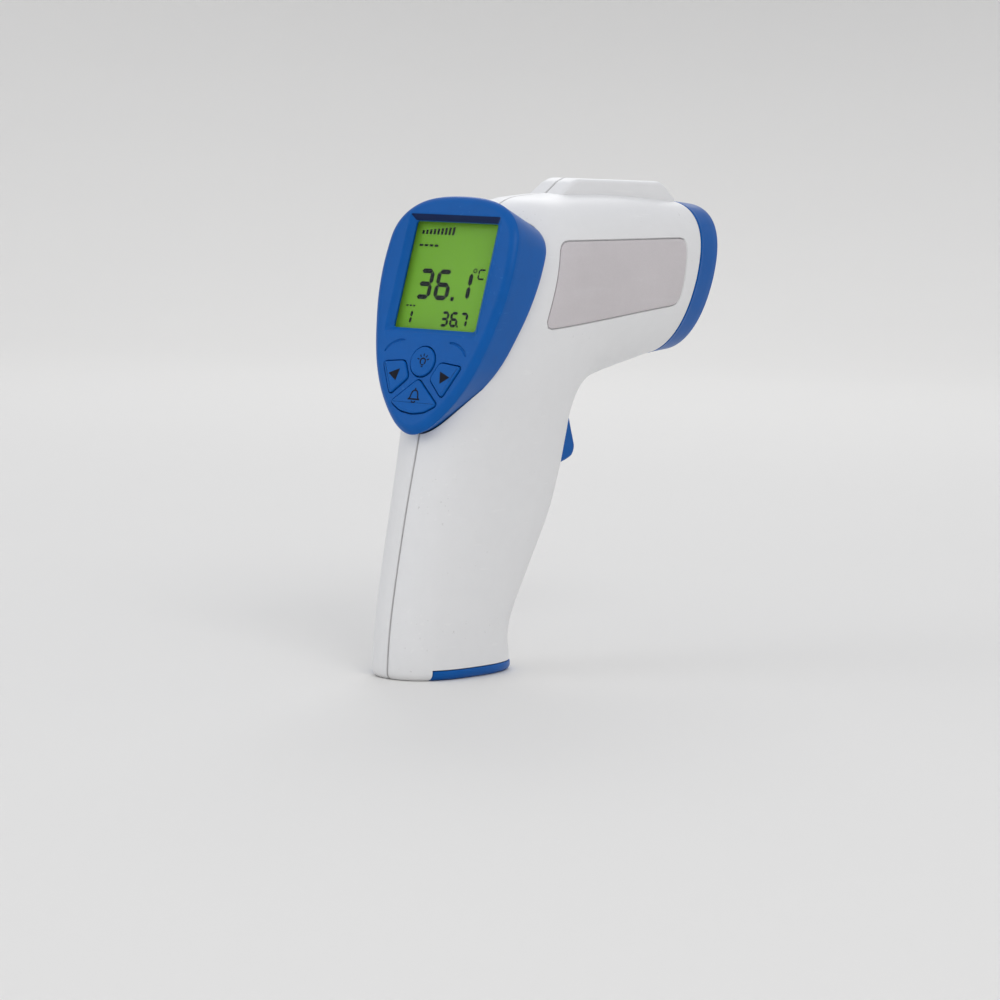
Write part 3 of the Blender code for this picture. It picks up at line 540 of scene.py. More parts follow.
@dataclass(frozen=True)
class StudioPaper(Finish):
    """The pale sweep the object stands on."""

    colour: Colour = (0.80, 0.79, 0.77)

    def paint(self, graph: Graph) -> dict[str | int, Feed]:
        """Matt paper with a very faint tooth."""
        at = graph.coords()
        tooth = graph.noise(at, 420.0, 3.0)
        base = graph.blend(graph.noise(at, 3.0, 2.0), shade(self.colour, 0.985), shade(self.colour, 1.01))
        return {"Base Color": base, "Roughness": 0.85 + (tooth - 0.5) * 0.1, "Normal": graph.bump(tooth, 0.00002)}


WHITE_SHELL = MouldedPlastic("white_shell", (0.80, 0.802, 0.81), (0.88, 0.88, 0.88), (0.38, 0.37, 0.36),
                             0.42, 2600.0, 0.000012, 0.015, True)
BLUE_WEAR = ((0.05, 0.22, 0.56), (0.002, 0.02, 0.08))
BLUE_COAT = ((0.001, 0.098, 0.385), *BLUE_WEAR, 0.34, 2400.0, 0.000010, 0.06, False, 0.16)
BLUE_SHELL = MouldedPlastic("blue_shell", *BLUE_COAT)
BEZEL_BLUE = BezelPlastic("bezel_blue", *BLUE_COAT)
BLUE_KEY = MouldedPlastic("blue_key", (0.001, 0.100, 0.390), *BLUE_WEAR, 0.40, 2800.0, 0.000014, 0.06, False, 0.16)
BLACK_NYLON = MouldedPlastic("black_nylon", (0.018, 0.018, 0.020), (0.10, 0.10, 0.10), (0.10, 0.09, 0.08),
                             0.50, 1800.0, 0.00002, 0.15)
PALE_NYLON = MouldedPlastic("pale_nylon", (0.72, 0.72, 0.70), (0.85, 0.85, 0.84), (0.4, 0.38, 0.35),
                            0.45, 1800.0, 0.00002, 0.03)
LIGHT_GUIDE = MouldedPlastic("light_guide", (0.62, 0.74, 0.50), (0.85, 0.9, 0.8), (0.4, 0.4, 0.35),
                             0.22, 1200.0, 0.00001, 0.03)
CHIP_EPOXY = MouldedPlastic("chip_epoxy", (0.012, 0.012, 0.013), (0.08, 0.08, 0.08), (0.05, 0.05, 0.05),
                            0.58, 3000.0, 0.00002, 0.2)
SIDE_FILM = PrintedFilm("side_film")
DISPLAY_GREEN = LiquidCrystal("display_green")
DISPLAY_LENS = ClearPane("display_lens_clear")
SEGMENT_BLACK = Ink("segment_black")
SIGN_BLACK = Ink("sign_black", (0.004, 0.005, 0.010), 0.5)
STEEL = PlatedMetal("zinc_steel")
NICKEL = PlatedMetal("nickel_strip", (0.70, 0.67, 0.60), (0.45, 0.40, 0.30), 0.24, (0.05, 1.0, 1.0))
HORN_CHROME = PlatedMetal("horn_chrome", (0.78, 0.78, 0.78), (0.55, 0.52, 0.48), 0.12, (1.0, 1.0, 1.0))
BOARD_MASK = SolderMask("board_mask", lean=math.radians(17.0))
UPRIGHT_MASK = SolderMask("upright_mask", (0.012, 0.12, 0.05))
MAT_RUBBER = SoftRubber("mat_rubber")
RED_LEAD = SoftRubber("red_lead_skin", (0.50, 0.015, 0.012), 0.45)
BLACK_LEAD = SoftRubber("black_lead_skin", (0.014, 0.014, 0.015), 0.45)
GREY_LEAD = SoftRubber("grey_lead_skin", (0.30, 0.30, 0.31), 0.5)
SENSOR_WINDOW = Ink("sensor_window_dark", (0.02, 0.018, 0.03), 0.10, 0.6)
STRIP_STRIPES = StripedRubber("strip_stripes")
PASSIVE_TAN = MouldedPlastic("passive_tan", (0.36, 0.25, 0.14), (0.7, 0.7, 0.68), (0.2, 0.2, 0.2),
                             0.45, 2200.0, 0.00002, 0.12)


# ---------------------------------------------------------------- outlines and meshes


def circle(radius: float, count: int, centre: tuple[float, float] = (0.0, 0.0)) -> Outline:
    """Outline of a circle, anticlockwise."""
    turn = 2.0 * math.pi / count
    return [(centre[0] + radius * math.cos(i * turn), centre[1] + radius * math.sin(i * turn))
            for i in range(count)]


def rounded_rect(half_a: float, half_b: float, radius: float, steps: int = 5,
                 centre: tuple[float, float] = (0.0, 0.0)) -> Outline:
    """Outline of a rectangle with rounded corners, anticlockwise."""
    points = []
    for sign_a, sign_b, start in ((1, 1, 0), (-1, 1, 90), (-1, -1, 180), (1, -1, 270)):
        for k in range(steps + 1):
            angle = math.radians(start + 90.0 * k / steps)
            points.append((centre[0] + sign_a * (half_a - radius) + radius * math.cos(angle),
                           centre[1] + sign_b * (half_b - radius) + radius * math.sin(angle)))
    return points


def round_corners(corners: Sequence[tuple[float, float]], radius: float, steps: int = 5) -> Outline:
    """Round every corner of a polygon with a quadratic blend.

    Args:
        corners: The polygon.
        radius: How far from the corner the blend starts.
        steps: The points in each blend, less one.

    Returns:
        The rounded outline.
    """
    points = []
    for i, corner in enumerate(corners):
        here = Vector(corner)
        start = here + (Vector(corners[i - 1]) - here).normalized() * radius
        end = here + (Vector(corners[(i + 1) % len(corners)]) - here).normalized() * radius
        for k in range(steps + 1):
            t = k / steps
            mixed = start * (1 - t) ** 2 + here * 2 * t * (1 - t) + end * t ** 2
            points.append((mixed.x, mixed.y))
    return points


def grow(points: Outline, amount: float) -> Outline:
    """Move an outline outwards along its corner normals."""
    area = sum(p[0] * q[1] - q[0] * p[1] for p, q in zip(points, points[1:] + points[:1]))
    sign = 1.0 if area > 0 else -1.0
    grown = []
    for i, (a, b) in enumerate(points):
        pa, pb = points[i - 1]
        qa, qb = points[(i + 1) % len(points)]
        normal = Vector((qb - pb, pa - qa)).normalized() * sign
        grown.append((a + normal.x * amount, b + normal.y * amount))
    return grown


def resample(points: Outline, count: int) -> Outline:
    """The same closed outline with evenly spaced points."""
    loop = [Vector(p) for p in points] + [Vector(points[0])]
    lengths = [(q - p).length for p, q in zip(loop, loop[1:])]
    total = sum(lengths)
    result, index, passed = [], 0, 0.0
    for k in range(count):
        want = total * k / count
        while passed + lengths[index] < want:
            passed += lengths[index]
            index += 1
        point = loop[index].lerp(loop[index + 1], (want - passed) / max(lengths[index], 1e-9))
        result.append((point.x, point.y))
    return result


def spline(values: Sequence[Sequence[float]], t: float) -> tuple[float, ...]:
    """Catmull-Rom value at parameter t through a list of tuples."""
    last = len(values) - 1
    t = min(max(t, 0.0), float(last))
    i = min(int(t), last - 1)
    u = t - i
    p1, p2 = values[i], values[i + 1]
    p0 = values[i - 1] if i > 0 else tuple(2 * a - b for a, b in zip(p1, p2))
    p3 = values[i + 2] if i + 2 <= last else tuple(2 * b - a for a, b in zip(p1, p2))
    return tuple(0.5 * (2 * b + (c - a) * u + (2 * a - 5 * b + 4 * c - d) * u * u
                        + (3 * b - a - 3 * c + d) * u ** 3) for a, b, c, d in zip(p0, p1, p2, p3))


def ease(t: float) -> float:
    """Smooth step of a value between 0 and 1."""
    t = min(max(t, 0.0), 1.0)
    return t * t * (3.0 - 2.0 * t)


class Skin:
    """A closed mesh being built from rings, in millimetres."""

    def __init__(self) -> None:
        """Start empty."""
        self.bm = bmesh.new()

    def loft(self, rings: Sequence[Ring], closed: bool = False) -> "Skin":
        """Skin rings that all have the same number of points.

        Args:
            rings: The rings in order.
            closed: Whether the last joins the first; if not, both ends are capped.

        Returns:
            This skin.
        """
        rows = [[self.bm.verts.new(point) for point in ring] for ring in rings]
        pairs = list(zip(rows, rows[1:]))
        if closed:
            pairs.append((rows[-1], rows[0]))
        for first, second in pairs:
            self.band(first, second)
        if not closed:
            self.bm.faces.new(list(reversed(rows[0])))
            self.bm.faces.new(rows[-1])
        return self

    def band(self, first: Sequence[bmesh.types.BMVert], second: Sequence[bmesh.types.BMVert]) -> None:
        """Join two rows of vertices with a band of faces."""
        for i in range(len(first)):
            j = (i + 1) % len(first)
            self.bm.faces.new((first[i], first[j], second[j], second[i]))

    def prism(self, points: Outline, low: float, high: float, place: Place, edge: float = 0.0) -> "Skin":
        """A straight solid over an outline, its upper rim rounded.

        Args:
            points: The outline.
            low: The lower height.
            high: The upper height.
            place: Maps (a, b, height) to a point.
            edge: The radius of the upper rim.

        Returns:
            This skin.
        """
        rings = [[place(a, b, low) for a, b in points]]
        if edge > 0.0:
            for k in range(RIM_STEPS + 1):
                angle = math.pi / 2 * k / RIM_STEPS
                inner = grow(points, -edge * (1.0 - math.cos(angle)))
                rings.append([place(a, b, high - edge * (1.0 - math.sin(angle))) for a, b in inner])
        else:
            rings.append([place(a, b, high) for a, b in points])
        return self.loft(rings)

    def turned(self, profile: Sequence[tuple[float, float]], count: int, place: Place,
               closed: bool = False) -> "Skin":
        """A turned solid: rings of (radius, height) about an axis."""
        return self.loft([[place(a, b, height) for a, b in circle(radius, count)]
                          for radius, height in profile], closed)

    def tool(self) -> bpy.types.Object:
        """The skin as an unnamed cutter."""
        return self._object("cutter")

    def piece(self, name: str, finish: Finish, smooth: float = 32.0) -> bpy.types.Object:
        """The skin as a finished piece.

        Args:
            name: The piece's name.
            finish: What it is made of.
            smooth: Edges sharper than this many degrees stay sharp.

        Returns:
            The object.
        """
        item = self._object(name)
        dress(item, finish, smooth)
        return item

    def _object(self, name: str) -> bpy.types.Object:
        """The mesh in metres, its faces outwards, linked to the scene."""
        bmesh.ops.recalc_face_normals(self.bm, faces=self.bm.faces)
        for vert in self.bm.verts:
            vert.co *= MM
        mesh = bpy.data.meshes.new(name)
        self.bm.to_mesh(mesh)
        self.bm.free()
        return link(name, mesh)


def link(name: str, mesh: bpy.types.Mesh) -> bpy.types.Object:
    """An object of a mesh, linked to the scene."""
    item = bpy.data.objects.new(name, mesh)
    bpy.context.scene.collection.objects.link(item)
    return item


def drop(item: bpy.types.Object) -> None:
    """Remove a helper object and its mesh."""
    mesh = item.data
    bpy.data.objects.remove(item, do_unlink=True)
    bpy.data.meshes.remove(mesh)


def upright(a: float, b: float, h: float) -> Vector:
    """Outline (x, y) swept along z."""
    return Vector((a, b, h))


def dress(item: bpy.types.Object, finish: Finish, smooth: float = 32.0) -> None:
    """Give a mesh one finish and smooth shading with its sharp edges kept."""
    item.data.materials.clear()
    item.data.materials.append(finish.material())
    for face in item.data.polygons:
        face.material_index = 0
    item.data.shade_smooth()
    item.data.set_sharp_from_angle(angle=math.radians(smooth))


def settle(item: bpy.types.Object) -> None:
    """Make an object's modifiers part of its mesh."""
    depsgraph = bpy.context.evaluated_depsgraph_get()
    old = item.data
    made = bpy.data.meshes.new_from_object(item.evaluated_get(depsgraph), depsgraph=depsgraph)
    item.modifiers.clear()
    item.data = made
    bpy.data.meshes.remove(old)
    made.name = item.name


def carve(target: bpy.types.Object, skin: Skin, operation: str = "DIFFERENCE") -> None:
    """Cut or join a helper into an object.

    Args:
        target: The object that is changed.
        skin: The helper's mesh, which may hold several solids apart from each other.
        operation: DIFFERENCE or UNION.
    """
    tool = skin.tool()
    mod = target.modifiers.new("carve", "BOOLEAN")
    mod.operation = operation
    mod.solver = "EXACT"
    mod.object = tool
    settle(target)
    drop(tool)


def fit(item: bpy.types.Object, body: Body, nodes: Iterable[str] = ()) -> None:
    """Ride a finished piece on its body, in the place of the solids it stands for.

    Args:
        item: The piece.
        body: The body it moves with.
        nodes: The solids it replaces.
    """
    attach(item, body.value)
    names = list(nodes)
    if names:
        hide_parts(*names)
    log.info("%s: %d faces on %s%s", item.name, len(item.data.polygons), body.value,
             " for " + ", ".join(names) if names else "")


def finish_node(name: str, finish: Finish) -> None:
    """Give one of the frame's own solids its finish."""
    node = frame["nodes"][name]
    for slot in node.material_slots:
        slot.material = finish.material()
    log.info("%s: finish %s", name, finish.name)


# ---------------------------------------------------------------- geometry-node tools


class Tree:
    """A geometry-node tree with named inputs, made in the script."""

    def __init__(self, name: str, inputs: Sequence[tuple[str, str]]) -> None:
        """Start a tree.

        Args:
            name: The tree's name.
            inputs: (name, socket type) of each input after the geometry.
        """
        self.tree = bpy.data.node_groups.new(name, "GeometryNodeTree")
        face = self.tree.interface
        face.new_socket("Geometry", in_out="INPUT", socket_type="NodeSocketGeometry")
        self.ids = {}
        for label, kind in inputs:
            self.ids[label] = face.new_socket(label, in_out="INPUT", socket_type=kind).identifier
        face.new_socket("Geometry", in_out="OUTPUT", socket_type="NodeSocketGeometry")
        self.start = self.tree.nodes.new("NodeGroupInput")
        self.end = self.tree.nodes.new("NodeGroupOutput")

    def node(self, kind: str, settings: dict[str, object] | None = None,
             values: dict[str | int, object] | None = None) -> bpy.types.Node:
        """Add a node.

        Args:
            kind: The node's type.
            settings: Its settings, set first.
            values: A value or an output socket for each input.

        Returns:
            The node.
        """
        made = self.tree.nodes.new(kind)
        for key, value in (settings or {}).items():
            setattr(made, key, value)
        for key, value in (values or {}).items():
            if isinstance(value, bpy.types.NodeSocket):
                self.tree.links.new(value, made.inputs[key])
            else:
                made.inputs[key].default_value = value
        return made

    def close(self, geometry: bpy.types.NodeSocket) -> None:
        """End the tree in Realize Instances and Set Material."""
        smooth = self.node("GeometryNodeSetShadeSmooth", None, {0: geometry})
        real = self.node("GeometryNodeRealizeInstances", None, {0: smooth.outputs[0]})
        paint = self.node("GeometryNodeSetMaterial", None,
                          {0: real.outputs[0], "Material": self.start.outputs["Finish"]})
        self.tree.links.new(paint.outputs[0], self.end.inputs[0])

    def run(self, item: bpy.types.Object, values: dict[str, object]) -> None:
        """Run the tree on an object and keep the result as its mesh.

        Args:
            item: The object.
            values: A value for each named input.
        """
        mod = item.modifiers.new(self.tree.name, "NODES")
        mod.node_group = self.tree
        for label, value in values.items():
            mod[self.ids[label]] = value
        settle(item)
        item.data.set_sharp_from_angle(angle=math.radians(32.0))


class Scatter:
    """Copies of one item at marked places: screws, legs, pads and ridges."""

    def __init__(self) -> None:
        """Build the tree: instances of Item on points, turned along aim and sized by size."""
        kinds = [("Item", "NodeSocketObject"), ("Scale", "NodeSocketFloat"), ("Finish", "NodeSocketMaterial")]
        self.tree = Tree("scatter_items", kinds)
        t = self.tree
        points = t.node("GeometryNodeMeshToPoints", None, {0: t.start.outputs["Geometry"]})
        aim = t.node("GeometryNodeInputNamedAttribute", {"data_type": "FLOAT_VECTOR"}, {"Name": "aim"})
        size = t.node("GeometryNodeInputNamedAttribute", {"data_type": "FLOAT_VECTOR"}, {"Name": "size"})
        turn = t.node("FunctionNodeAlignRotationToVector", {"axis": "Z"}, {"Vector": aim.outputs["Attribute"]})
        item = t.node("GeometryNodeObjectInfo", None, {"Object": t.start.outputs["Item"]})
        scale = t.node("ShaderNodeVectorMath", {"operation": "SCALE"},
                       {0: size.outputs["Attribute"], "Scale": t.start.outputs["Scale"]})
        spread = t.node("GeometryNodeInstanceOnPoints", None, {
            "Points": points.outputs[0], "Instance": item.outputs["Geometry"],
            "Rotation": turn.outputs[0], "Scale": scale.outputs[0]})
        t.close(spread.outputs[0])

    def lay(self, name: str, item: Skin, places: Sequence[tuple[Vector, Vector, Vector]],
            finish: Finish, scale: float = 1.0) -> bpy.types.Object:
        """Lay copies of an item.

        Args:
            name: The new piece's name.
            item: The item's mesh, made about the origin with +Z along its aim.
            places: (place in millimetres, aim, size) of each copy.
            finish: What the copies are made of.
            scale: A size common to all.

        Returns:
            The piece, a plain mesh.
        """
        source = item.tool()
        mesh = bpy.data.meshes.new(name)
        mesh.from_pydata([tuple(p * MM) for p, _, _ in places], [], [])
        for label, column in (("aim", 1), ("size", 2)):
            data = mesh.attributes.new(label, "FLOAT_VECTOR", "POINT")
            for i, row in enumerate(places):
                data.data[i].vector = row[column]
        made = link(name, mesh)
        self.tree.run(made, {"Item": source, "Scale": scale, "Finish": finish.material()})
        drop(source)
        return made


class Sweep:
    """Round wire along a path: leads and the return spring."""

    def __init__(self) -> None:
        """Build the tree: a circle of the named radius swept along the path's edges."""
        self.tree = Tree("sweep_round_wire", [("Radius", "NodeSocketFloat"), ("Sides", "NodeSocketInt"),
                                              ("Finish", "NodeSocketMaterial")])
        t = self.tree
        path = t.node("GeometryNodeMeshToCurve", None, {0: t.start.outputs["Geometry"]})
        ring = t.node("GeometryNodeCurvePrimitiveCircle", {"mode": "RADIUS"},
                      {"Resolution": t.start.outputs["Sides"], "Radius": t.start.outputs["Radius"]})
        body = t.node("GeometryNodeCurveToMesh", None,
                      {"Curve": path.outputs[0], "Profile Curve": ring.outputs[0], "Fill Caps": True})
        t.close(body.outputs[0])

    def along(self, name: str, path: Sequence[Vector], radius: float, finish: Finish,
              sides: int = 14) -> bpy.types.Object:
        """Sweep one wire.

        Args:
            name: The new piece's name.
            path: The points it follows, in millimetres.
            radius: Its radius, in millimetres.
            finish: What it is made of.
            sides: The points round it.

        Returns:
            The piece, a plain mesh.
        """
        mesh = bpy.data.meshes.new(name)
        mesh.from_pydata([tuple(p * MM) for p in path], [(i, i + 1) for i in range(len(path) - 1)], [])
        made = link(name, mesh)
        self.tree.run(made, {"Radius": radius * MM, "Sides": sides, "Finish": finish.material()})
        return made


# ---------------------------------------------------------------- the shapes they share


@dataclass
class BodyForm:
    """The case's lofted form: sections that fan from the level foot to the upright barrel end."""

    stations: tuple = (
        ((-18.5, 0.0), (-68.0, 0.0), 14.3), ((-20.0, 5.0), (-68.0, 5.0), 14.1),
        ((-20.5, 12.0), (-67.6, 12.0), 14.0), ((-18.0, 19.5), (-66.6, 20.5), 14.3),
        ((-11.0, 32.0), (-64.5, 33.0), 14.9), ((-3.5, 45.5), (-61.5, 48.5), 15.6),
        ((0.5, 58.0), (-58.0, 64.0), 16.6), ((2.2, 67.5), (-54.5, 79.0), 18.0),
        ((2.9, 75.7), (-50.0, 95.0), 20.2), ((5.9, 81.5), (-44.0, 111.0), 21.9),
        ((11.7, 84.9), (-36.5, 127.5), 22.8), ((20.2, 87.1), (-22.0, 138.8), 22.8),
        ((25.0, 88.0), (-7.0, 141.5), 22.2), ((29.0, 88.8), (12.5, 142.2), 21.3),
        ((34.5, 89.8), (28.0, 141.9), 20.6), ((40.5, 91.0), (43.5, 141.1), 19.9),
        ((46.7, 92.0), (57.6, 140.1), 19.0), ((57.4, 93.0), (68.2, 139.2), 17.8),
    )
    body_end: float = 16.0
    nozzle_end: float = 17.0
    roundness: float = 2.5
    egg_bias: float = 0.10
    foot_round: float = 2.4
    wall: float = 2.2
    seam: float = 0.15
    flat: list = field(init=False)

    def __post_init__(self) -> None:
        """Flatten the stations for the spline."""
        self.flat = [(f[0], f[1], b[0], b[1], half) for f, b, half in self.stations]

    def section(self, s: float, theta: float, inset: float = 0.0) -> Vector:
        """A point on the case.

        Args:
            s: The station.
            theta: 0 at the front line, pi at the back line.
            inset: How far inside the surface.

        Returns:
            The point.
        """
        fy, fz, by, bz, half = spline(self.flat, s)
        front, back = Vector((0.0, fy, fz)), Vector((0.0, by, bz))
        reach = (back - front).length / 2.0 - inset
        along = (back - front).normalized()
        power = 2.0 / self.roundness
        c = -math.cos(theta)
        q = math.copysign(abs(c) ** power, c)
        side = math.sin(theta)
        p = math.copysign(abs(side) ** power, side)
        bias = self.egg_bias * min(max((s - 6.0) / 4.0, 0.0), 1.0)
        width = (half - inset) * p * (1.0 + bias * (q - 0.35 * abs(q)))
        return (front + back) / 2.0 + along * (reach * q) + Vector((width, 0.0, 0.0))

    def _station_at(self, y: float, z: float, low: float, high: float) -> float:
        """The station whose section line passes a point of the side view."""
        for _ in range(HALVINGS):
            mid = (low + high) / 2.0
            fy, fz, by, bz, _ = spline(self.flat, mid)
            if (by - fy) * (z - fz) - (bz - fz) * (y - fy) < 0.0:
                low = mid
            else:
                high = mid
        return low

    def _half_at(self, s: float, below: Callable[[Vector], bool]) -> float:
        """Half width where a section, walked from its front line, stops being below a point."""
        low, high = 0.0, math.pi
        for _ in range(HALVINGS):
            mid = (low + high) / 2.0
            if below(self.section(s, mid)):
                low = mid
            else:
                high = mid
        return self.section(s, low).x

    @lru_cache(maxsize=None)
    def barrel_half(self, y: float, z: float) -> float:
        """Half width of the barrel at a point of the side view."""
        return self._half_at(self._station_at(y, z, 7.0, self.nozzle_end), lambda p: p.z < z)

    @lru_cache(maxsize=None)
    def grip_half(self, y: float, z: float) -> float:
        """Half width of the grip at a point of the side view."""
        return self._half_at(self._station_at(y, z, 0.0, 8.0), lambda p: p.y > y)

    def foot_inset(self, z: float) -> float:
        """How far the foot's lower edge is rounded in at height z."""
        if z >= self.foot_round:
            return 0.0
        rise = 1.0 - z / self.foot_round
        return self.foot_round * 0.8 * (1.0 - math.sqrt(max(1.0 - rise * rise, 0.0)))

    def __hash__(self) -> int:
        """One form is itself, so its lookups can be kept."""
        return id(self)


@dataclass
class DisplayFace:
    """The leaning display plane and the egg outline on it."""

    tilt: float = math.radians(17.0)
    y: float = -51.4
    z: float = 106.0
    depth0: float = 14.4
    depth_slope: float = 0.128
    draft: float = 1.6
    chin_draft: float = 2.2
    egg: tuple = (
        (0.0, 36.8), (8.6, 36.3), (15.5, 34.5), (20.7, 31.0), (23.8, 26.0), (24.8, 19.0),
        (24.9, 12.0), (24.2, 4.5), (22.7, -3.0), (20.9, -10.0), (18.6, -16.5), (15.4, -22.8),
        (11.5, -28.2), (7.2, -32.6), (3.4, -35.0), (0.0, -35.8),
    )

    def point(self, x: float, v: float, n: float) -> Vector:
        """World point of face coordinates: x across, v up the face, n out of it."""
        y = self.y + v * math.sin(self.tilt) - n * math.cos(self.tilt)
        z = self.z + v * math.cos(self.tilt) + n * math.sin(self.tilt)
        return Vector((x, y, z))

    def normal(self) -> Vector:
        """Outward direction of the face."""
        return Vector((0.0, -math.cos(self.tilt), math.sin(self.tilt)))

    def outline(self, out: float, count: int) -> Outline:
        """The egg outline moved outwards.

        Args:
            out: The distance outwards.
            count: Points down one side, both ends included.

        Returns:
            The closed outline.
        """
        last = len(self.egg) - 1
        (ax, av), (bx, bv) = self.egg[1], self.egg[-2]
        whole = ((-ax, av),) + self.egg + ((-bx, bv),)
        right = [spline(whole, 1.0 + last * i / (count - 1)) for i in range(count)]
        points = right + [(-x, v) for x, v in reversed(right[1:-1])]
        moved = []
        for i, (x, v) in enumerate(points):
            ax, av = points[i - 1]
            bx, bv = points[(i + 1) % len(points)]
            normal = Vector((av - bv, bx - ax)).normalized()
            moved.append((x + normal.x * out, v + normal.y * out))
        return moved

    def rear(self, margin: float, count: int) -> Outline:
        """The bezel's rear outline, drafted inwards and more so towards the chin."""
        full = self.outline(0.0, count)
        mild = self.outline(margin - self.draft, count)
        tight = self.outline(margin - self.draft - self.chin_draft, count)
        points = []
        for (_, v), near, far in zip(full, mild, tight):
            share = ease((-8.0 - v) / 22.0)
            points.append((near[0] + (far[0] - near[0]) * share, near[1] + (far[1] - near[1]) * share))
        return points

    def depth(self, v: float, extra: float = 0.0) -> float:
        """Where the bezel's rear edge lies at height v, as a value of n."""
        return -(self.depth0 + self.depth_slope * v + extra)

    def ring(self, points: Outline, n: float) -> Ring:
        """An outline on the face at one height."""
        return [self.point(x, v, n) for x, v in points]


FORM = BodyForm()
FACE = DisplayFace()


def side_place(a: float, b: float, h: float) -> Vector:
    """Side-view outline (y, z) swept along x."""
    return Vector((h, a, b))


# ---------------------------------------------------------------- sub-assemblies


@dataclass
class HousingPair:
    """The two white half shells with rail, bosses, screw wells and plate recesses."""

    screws: tuple = ((-27.0, 15.5), (-14.0, 42.5), (-4.0, 132.0), (38.5, 132.4), (32.0, 101.0))
    rail: tuple = ((-2.0, 141.0), (4.5, 145.4), (8.0, 146.6), (49.0, 146.0), (51.8, 144.8), (56.4, 140.0),
                   (54.0, 138.6), (40.0, 139.6), (20.0, 140.4), (3.0, 140.0))
    rail_steps: tuple = ((0.18, 0.22), (0.38, 0.0), (2.4, 0.0), (4.4, 0.02), (5.1, 0.10), (5.6, 0.28),
                         (6.0, 0.58), (6.25, 0.95), (6.4, 1.5))
    steps: int = 168
    arc: int = 46
    boss_r: float = 3.3
    well_r: float = 2.6
    seat_gap: float = 0.12
    seat_points: int = 71
    heel_lift: float = 0.02
    off_seam: float = 0.03
    trigger_half: float = 4.9

    def shell(self, side: int) -> Skin:
        """Outer and inner skin of one half, with a small rounded lip along the seam."""
        stops = [0.0, 0.02, 0.05, 0.10, 0.17, 0.26, 0.37]
        stops += [0.49 + (FORM.body_end - 0.53) * k / self.steps for k in range(self.steps + 1)]
        stops += [FORM.body_end]
        rings = []
        for s in stops:
            edge = FORM.foot_inset(5.0 * s) if s < 0.6 else 0.0
            if s == FORM.body_end:
                edge = 0.22
            half = spline(FORM.flat, s)[4]
            lips = [math.asin((x / half) ** 1.25) for x in (0.28, 0.7, 1.4)]
            grid = lips + [math.pi * i / self.arc for i in range(2, self.arc - 1)]
            grid += [math.pi - t for t in reversed(lips)]
            lip = min(edge + 0.32, 2.02)
            thetas = [(0.0, lip)] + [(t, edge) for t in grid] + [(math.pi, lip)]
            outer = [self._half_point(side, s, t, inset) for t, inset in thetas]
            inner = [self._half_point(side, s, t, FORM.wall) for t, _ in thetas]
            rings.append(outer + inner[::-1])
        return Skin().loft(rings)

    def _half_point(self, side: int, s: float, theta: float, inset: float) -> Vector:
        """A point of one half, kept off the seam plane."""
        point = FORM.section(s, theta, inset)
        point.x = side * max(point.x, FORM.seam)
        return point

    def heel(self, side: int) -> Skin:
        """The floor that closes the case behind the battery door."""
        skin = Skin()
        rings = []
        for z in (0.0, 0.6, 1.5, 3.6):
            ring = []
            for i in range(13):
                point = FORM.section(z / 5.0, math.radians(138.0 + 42.0 * i / 12.0), FORM.foot_inset(z) + 0.7)
                ring.append(Vector((side * max(point.x, FORM.seam + self.off_seam), point.y, z + self.heel_lift)))
            ring.append(Vector((side * (FORM.seam + self.off_seam), DOOR_BACK + 1.0, z + self.heel_lift)))
            ring.insert(0, Vector((side * abs(ring[0].x), DOOR_BACK + 1.0, z + self.heel_lift)))
            rings.append(ring)
        return skin.loft(rings)

    def half_rail(self, side: int) -> Skin:
        """This half of the raised rail along the top."""
        line = round_corners(self.rail, 1.1, 5)
        return Skin().loft([[Vector((side * x, y, z if z < 141.0 else z - drop * min(1.0, (z - 141.0) / 1.5)))
                             for y, z in line] for x, drop in self.rail_steps])

    def bosses(self, side: int) -> Skin:
        """The screw bosses, apart from each other."""
        skin = Skin()
        for y, z in self.screws:
            width_at = FORM.grip_half if z < 70.0 else FORM.barrel_half
            reach = self.boss_r + 0.2
            wall = min(width_at(y + dy, z + dz) for dy in (-reach, reach) for dz in (-reach, reach))
            skin.prism(circle(self.boss_r, 32, (y, z)), side * (FORM.seam + self.off_seam), side * (wall - 0.5),
                       side_place)
        return skin

    def wells(self, side: int) -> list[Skin]:
        """Stepped screw holes: a well for the head on the left half, a blind hole on the right."""
        holes = []
        for y, z in self.screws:
            if side < 0:
                stops = ((-30.0, self.well_r), (-4.0, self.well_r), (-4.0, 1.5), (3.0, 1.5))
            else:
                stops = ((-3.0, 1.5), (9.6, 1.5))
            holes.append(Skin().loft([[Vector((x, a, b)) for a, b in circle(r, 32, (y, z))] for x, r in stops]))
        return holes

    def openings(self, side: int) -> Skin:
        """The bezel's seat, the door's seat, the trigger slot and the plate's recess."""
        skin = Skin()
        gap, count = self.seat_gap, self.seat_points
        skin.loft([FACE.ring(FACE.outline(gap + 0.4, count), 6.0), FACE.ring(FACE.outline(gap, count), -3.2),
                   [FACE.point(x, v, FACE.depth(v, gap - BEZEL_LIFT)) for x, v in FACE.rear(gap, count)]])
        skin.prism([(-30.0, DOOR_BACK), (30.0, DOOR_BACK), (30.0, 5.0), (-30.0, 5.0)],
                   -5.0, DOOR_HIGH + GAP, upright)
        slot = rounded_rect(self.trigger_half + 0.5, 11.8, 0.8, 4, (0.0, 70.1))
        skin.loft([[Vector((x, y, z)) for x, z in slot] for y in (-6.0, 2.2, 16.0)])
        SidePlates.patch(skin, side, ((0.55, -1.5), (0.55, 0.0), (0.42, 0.22), (0.30, 0.34), (0.30, 0.85)))
        return skin

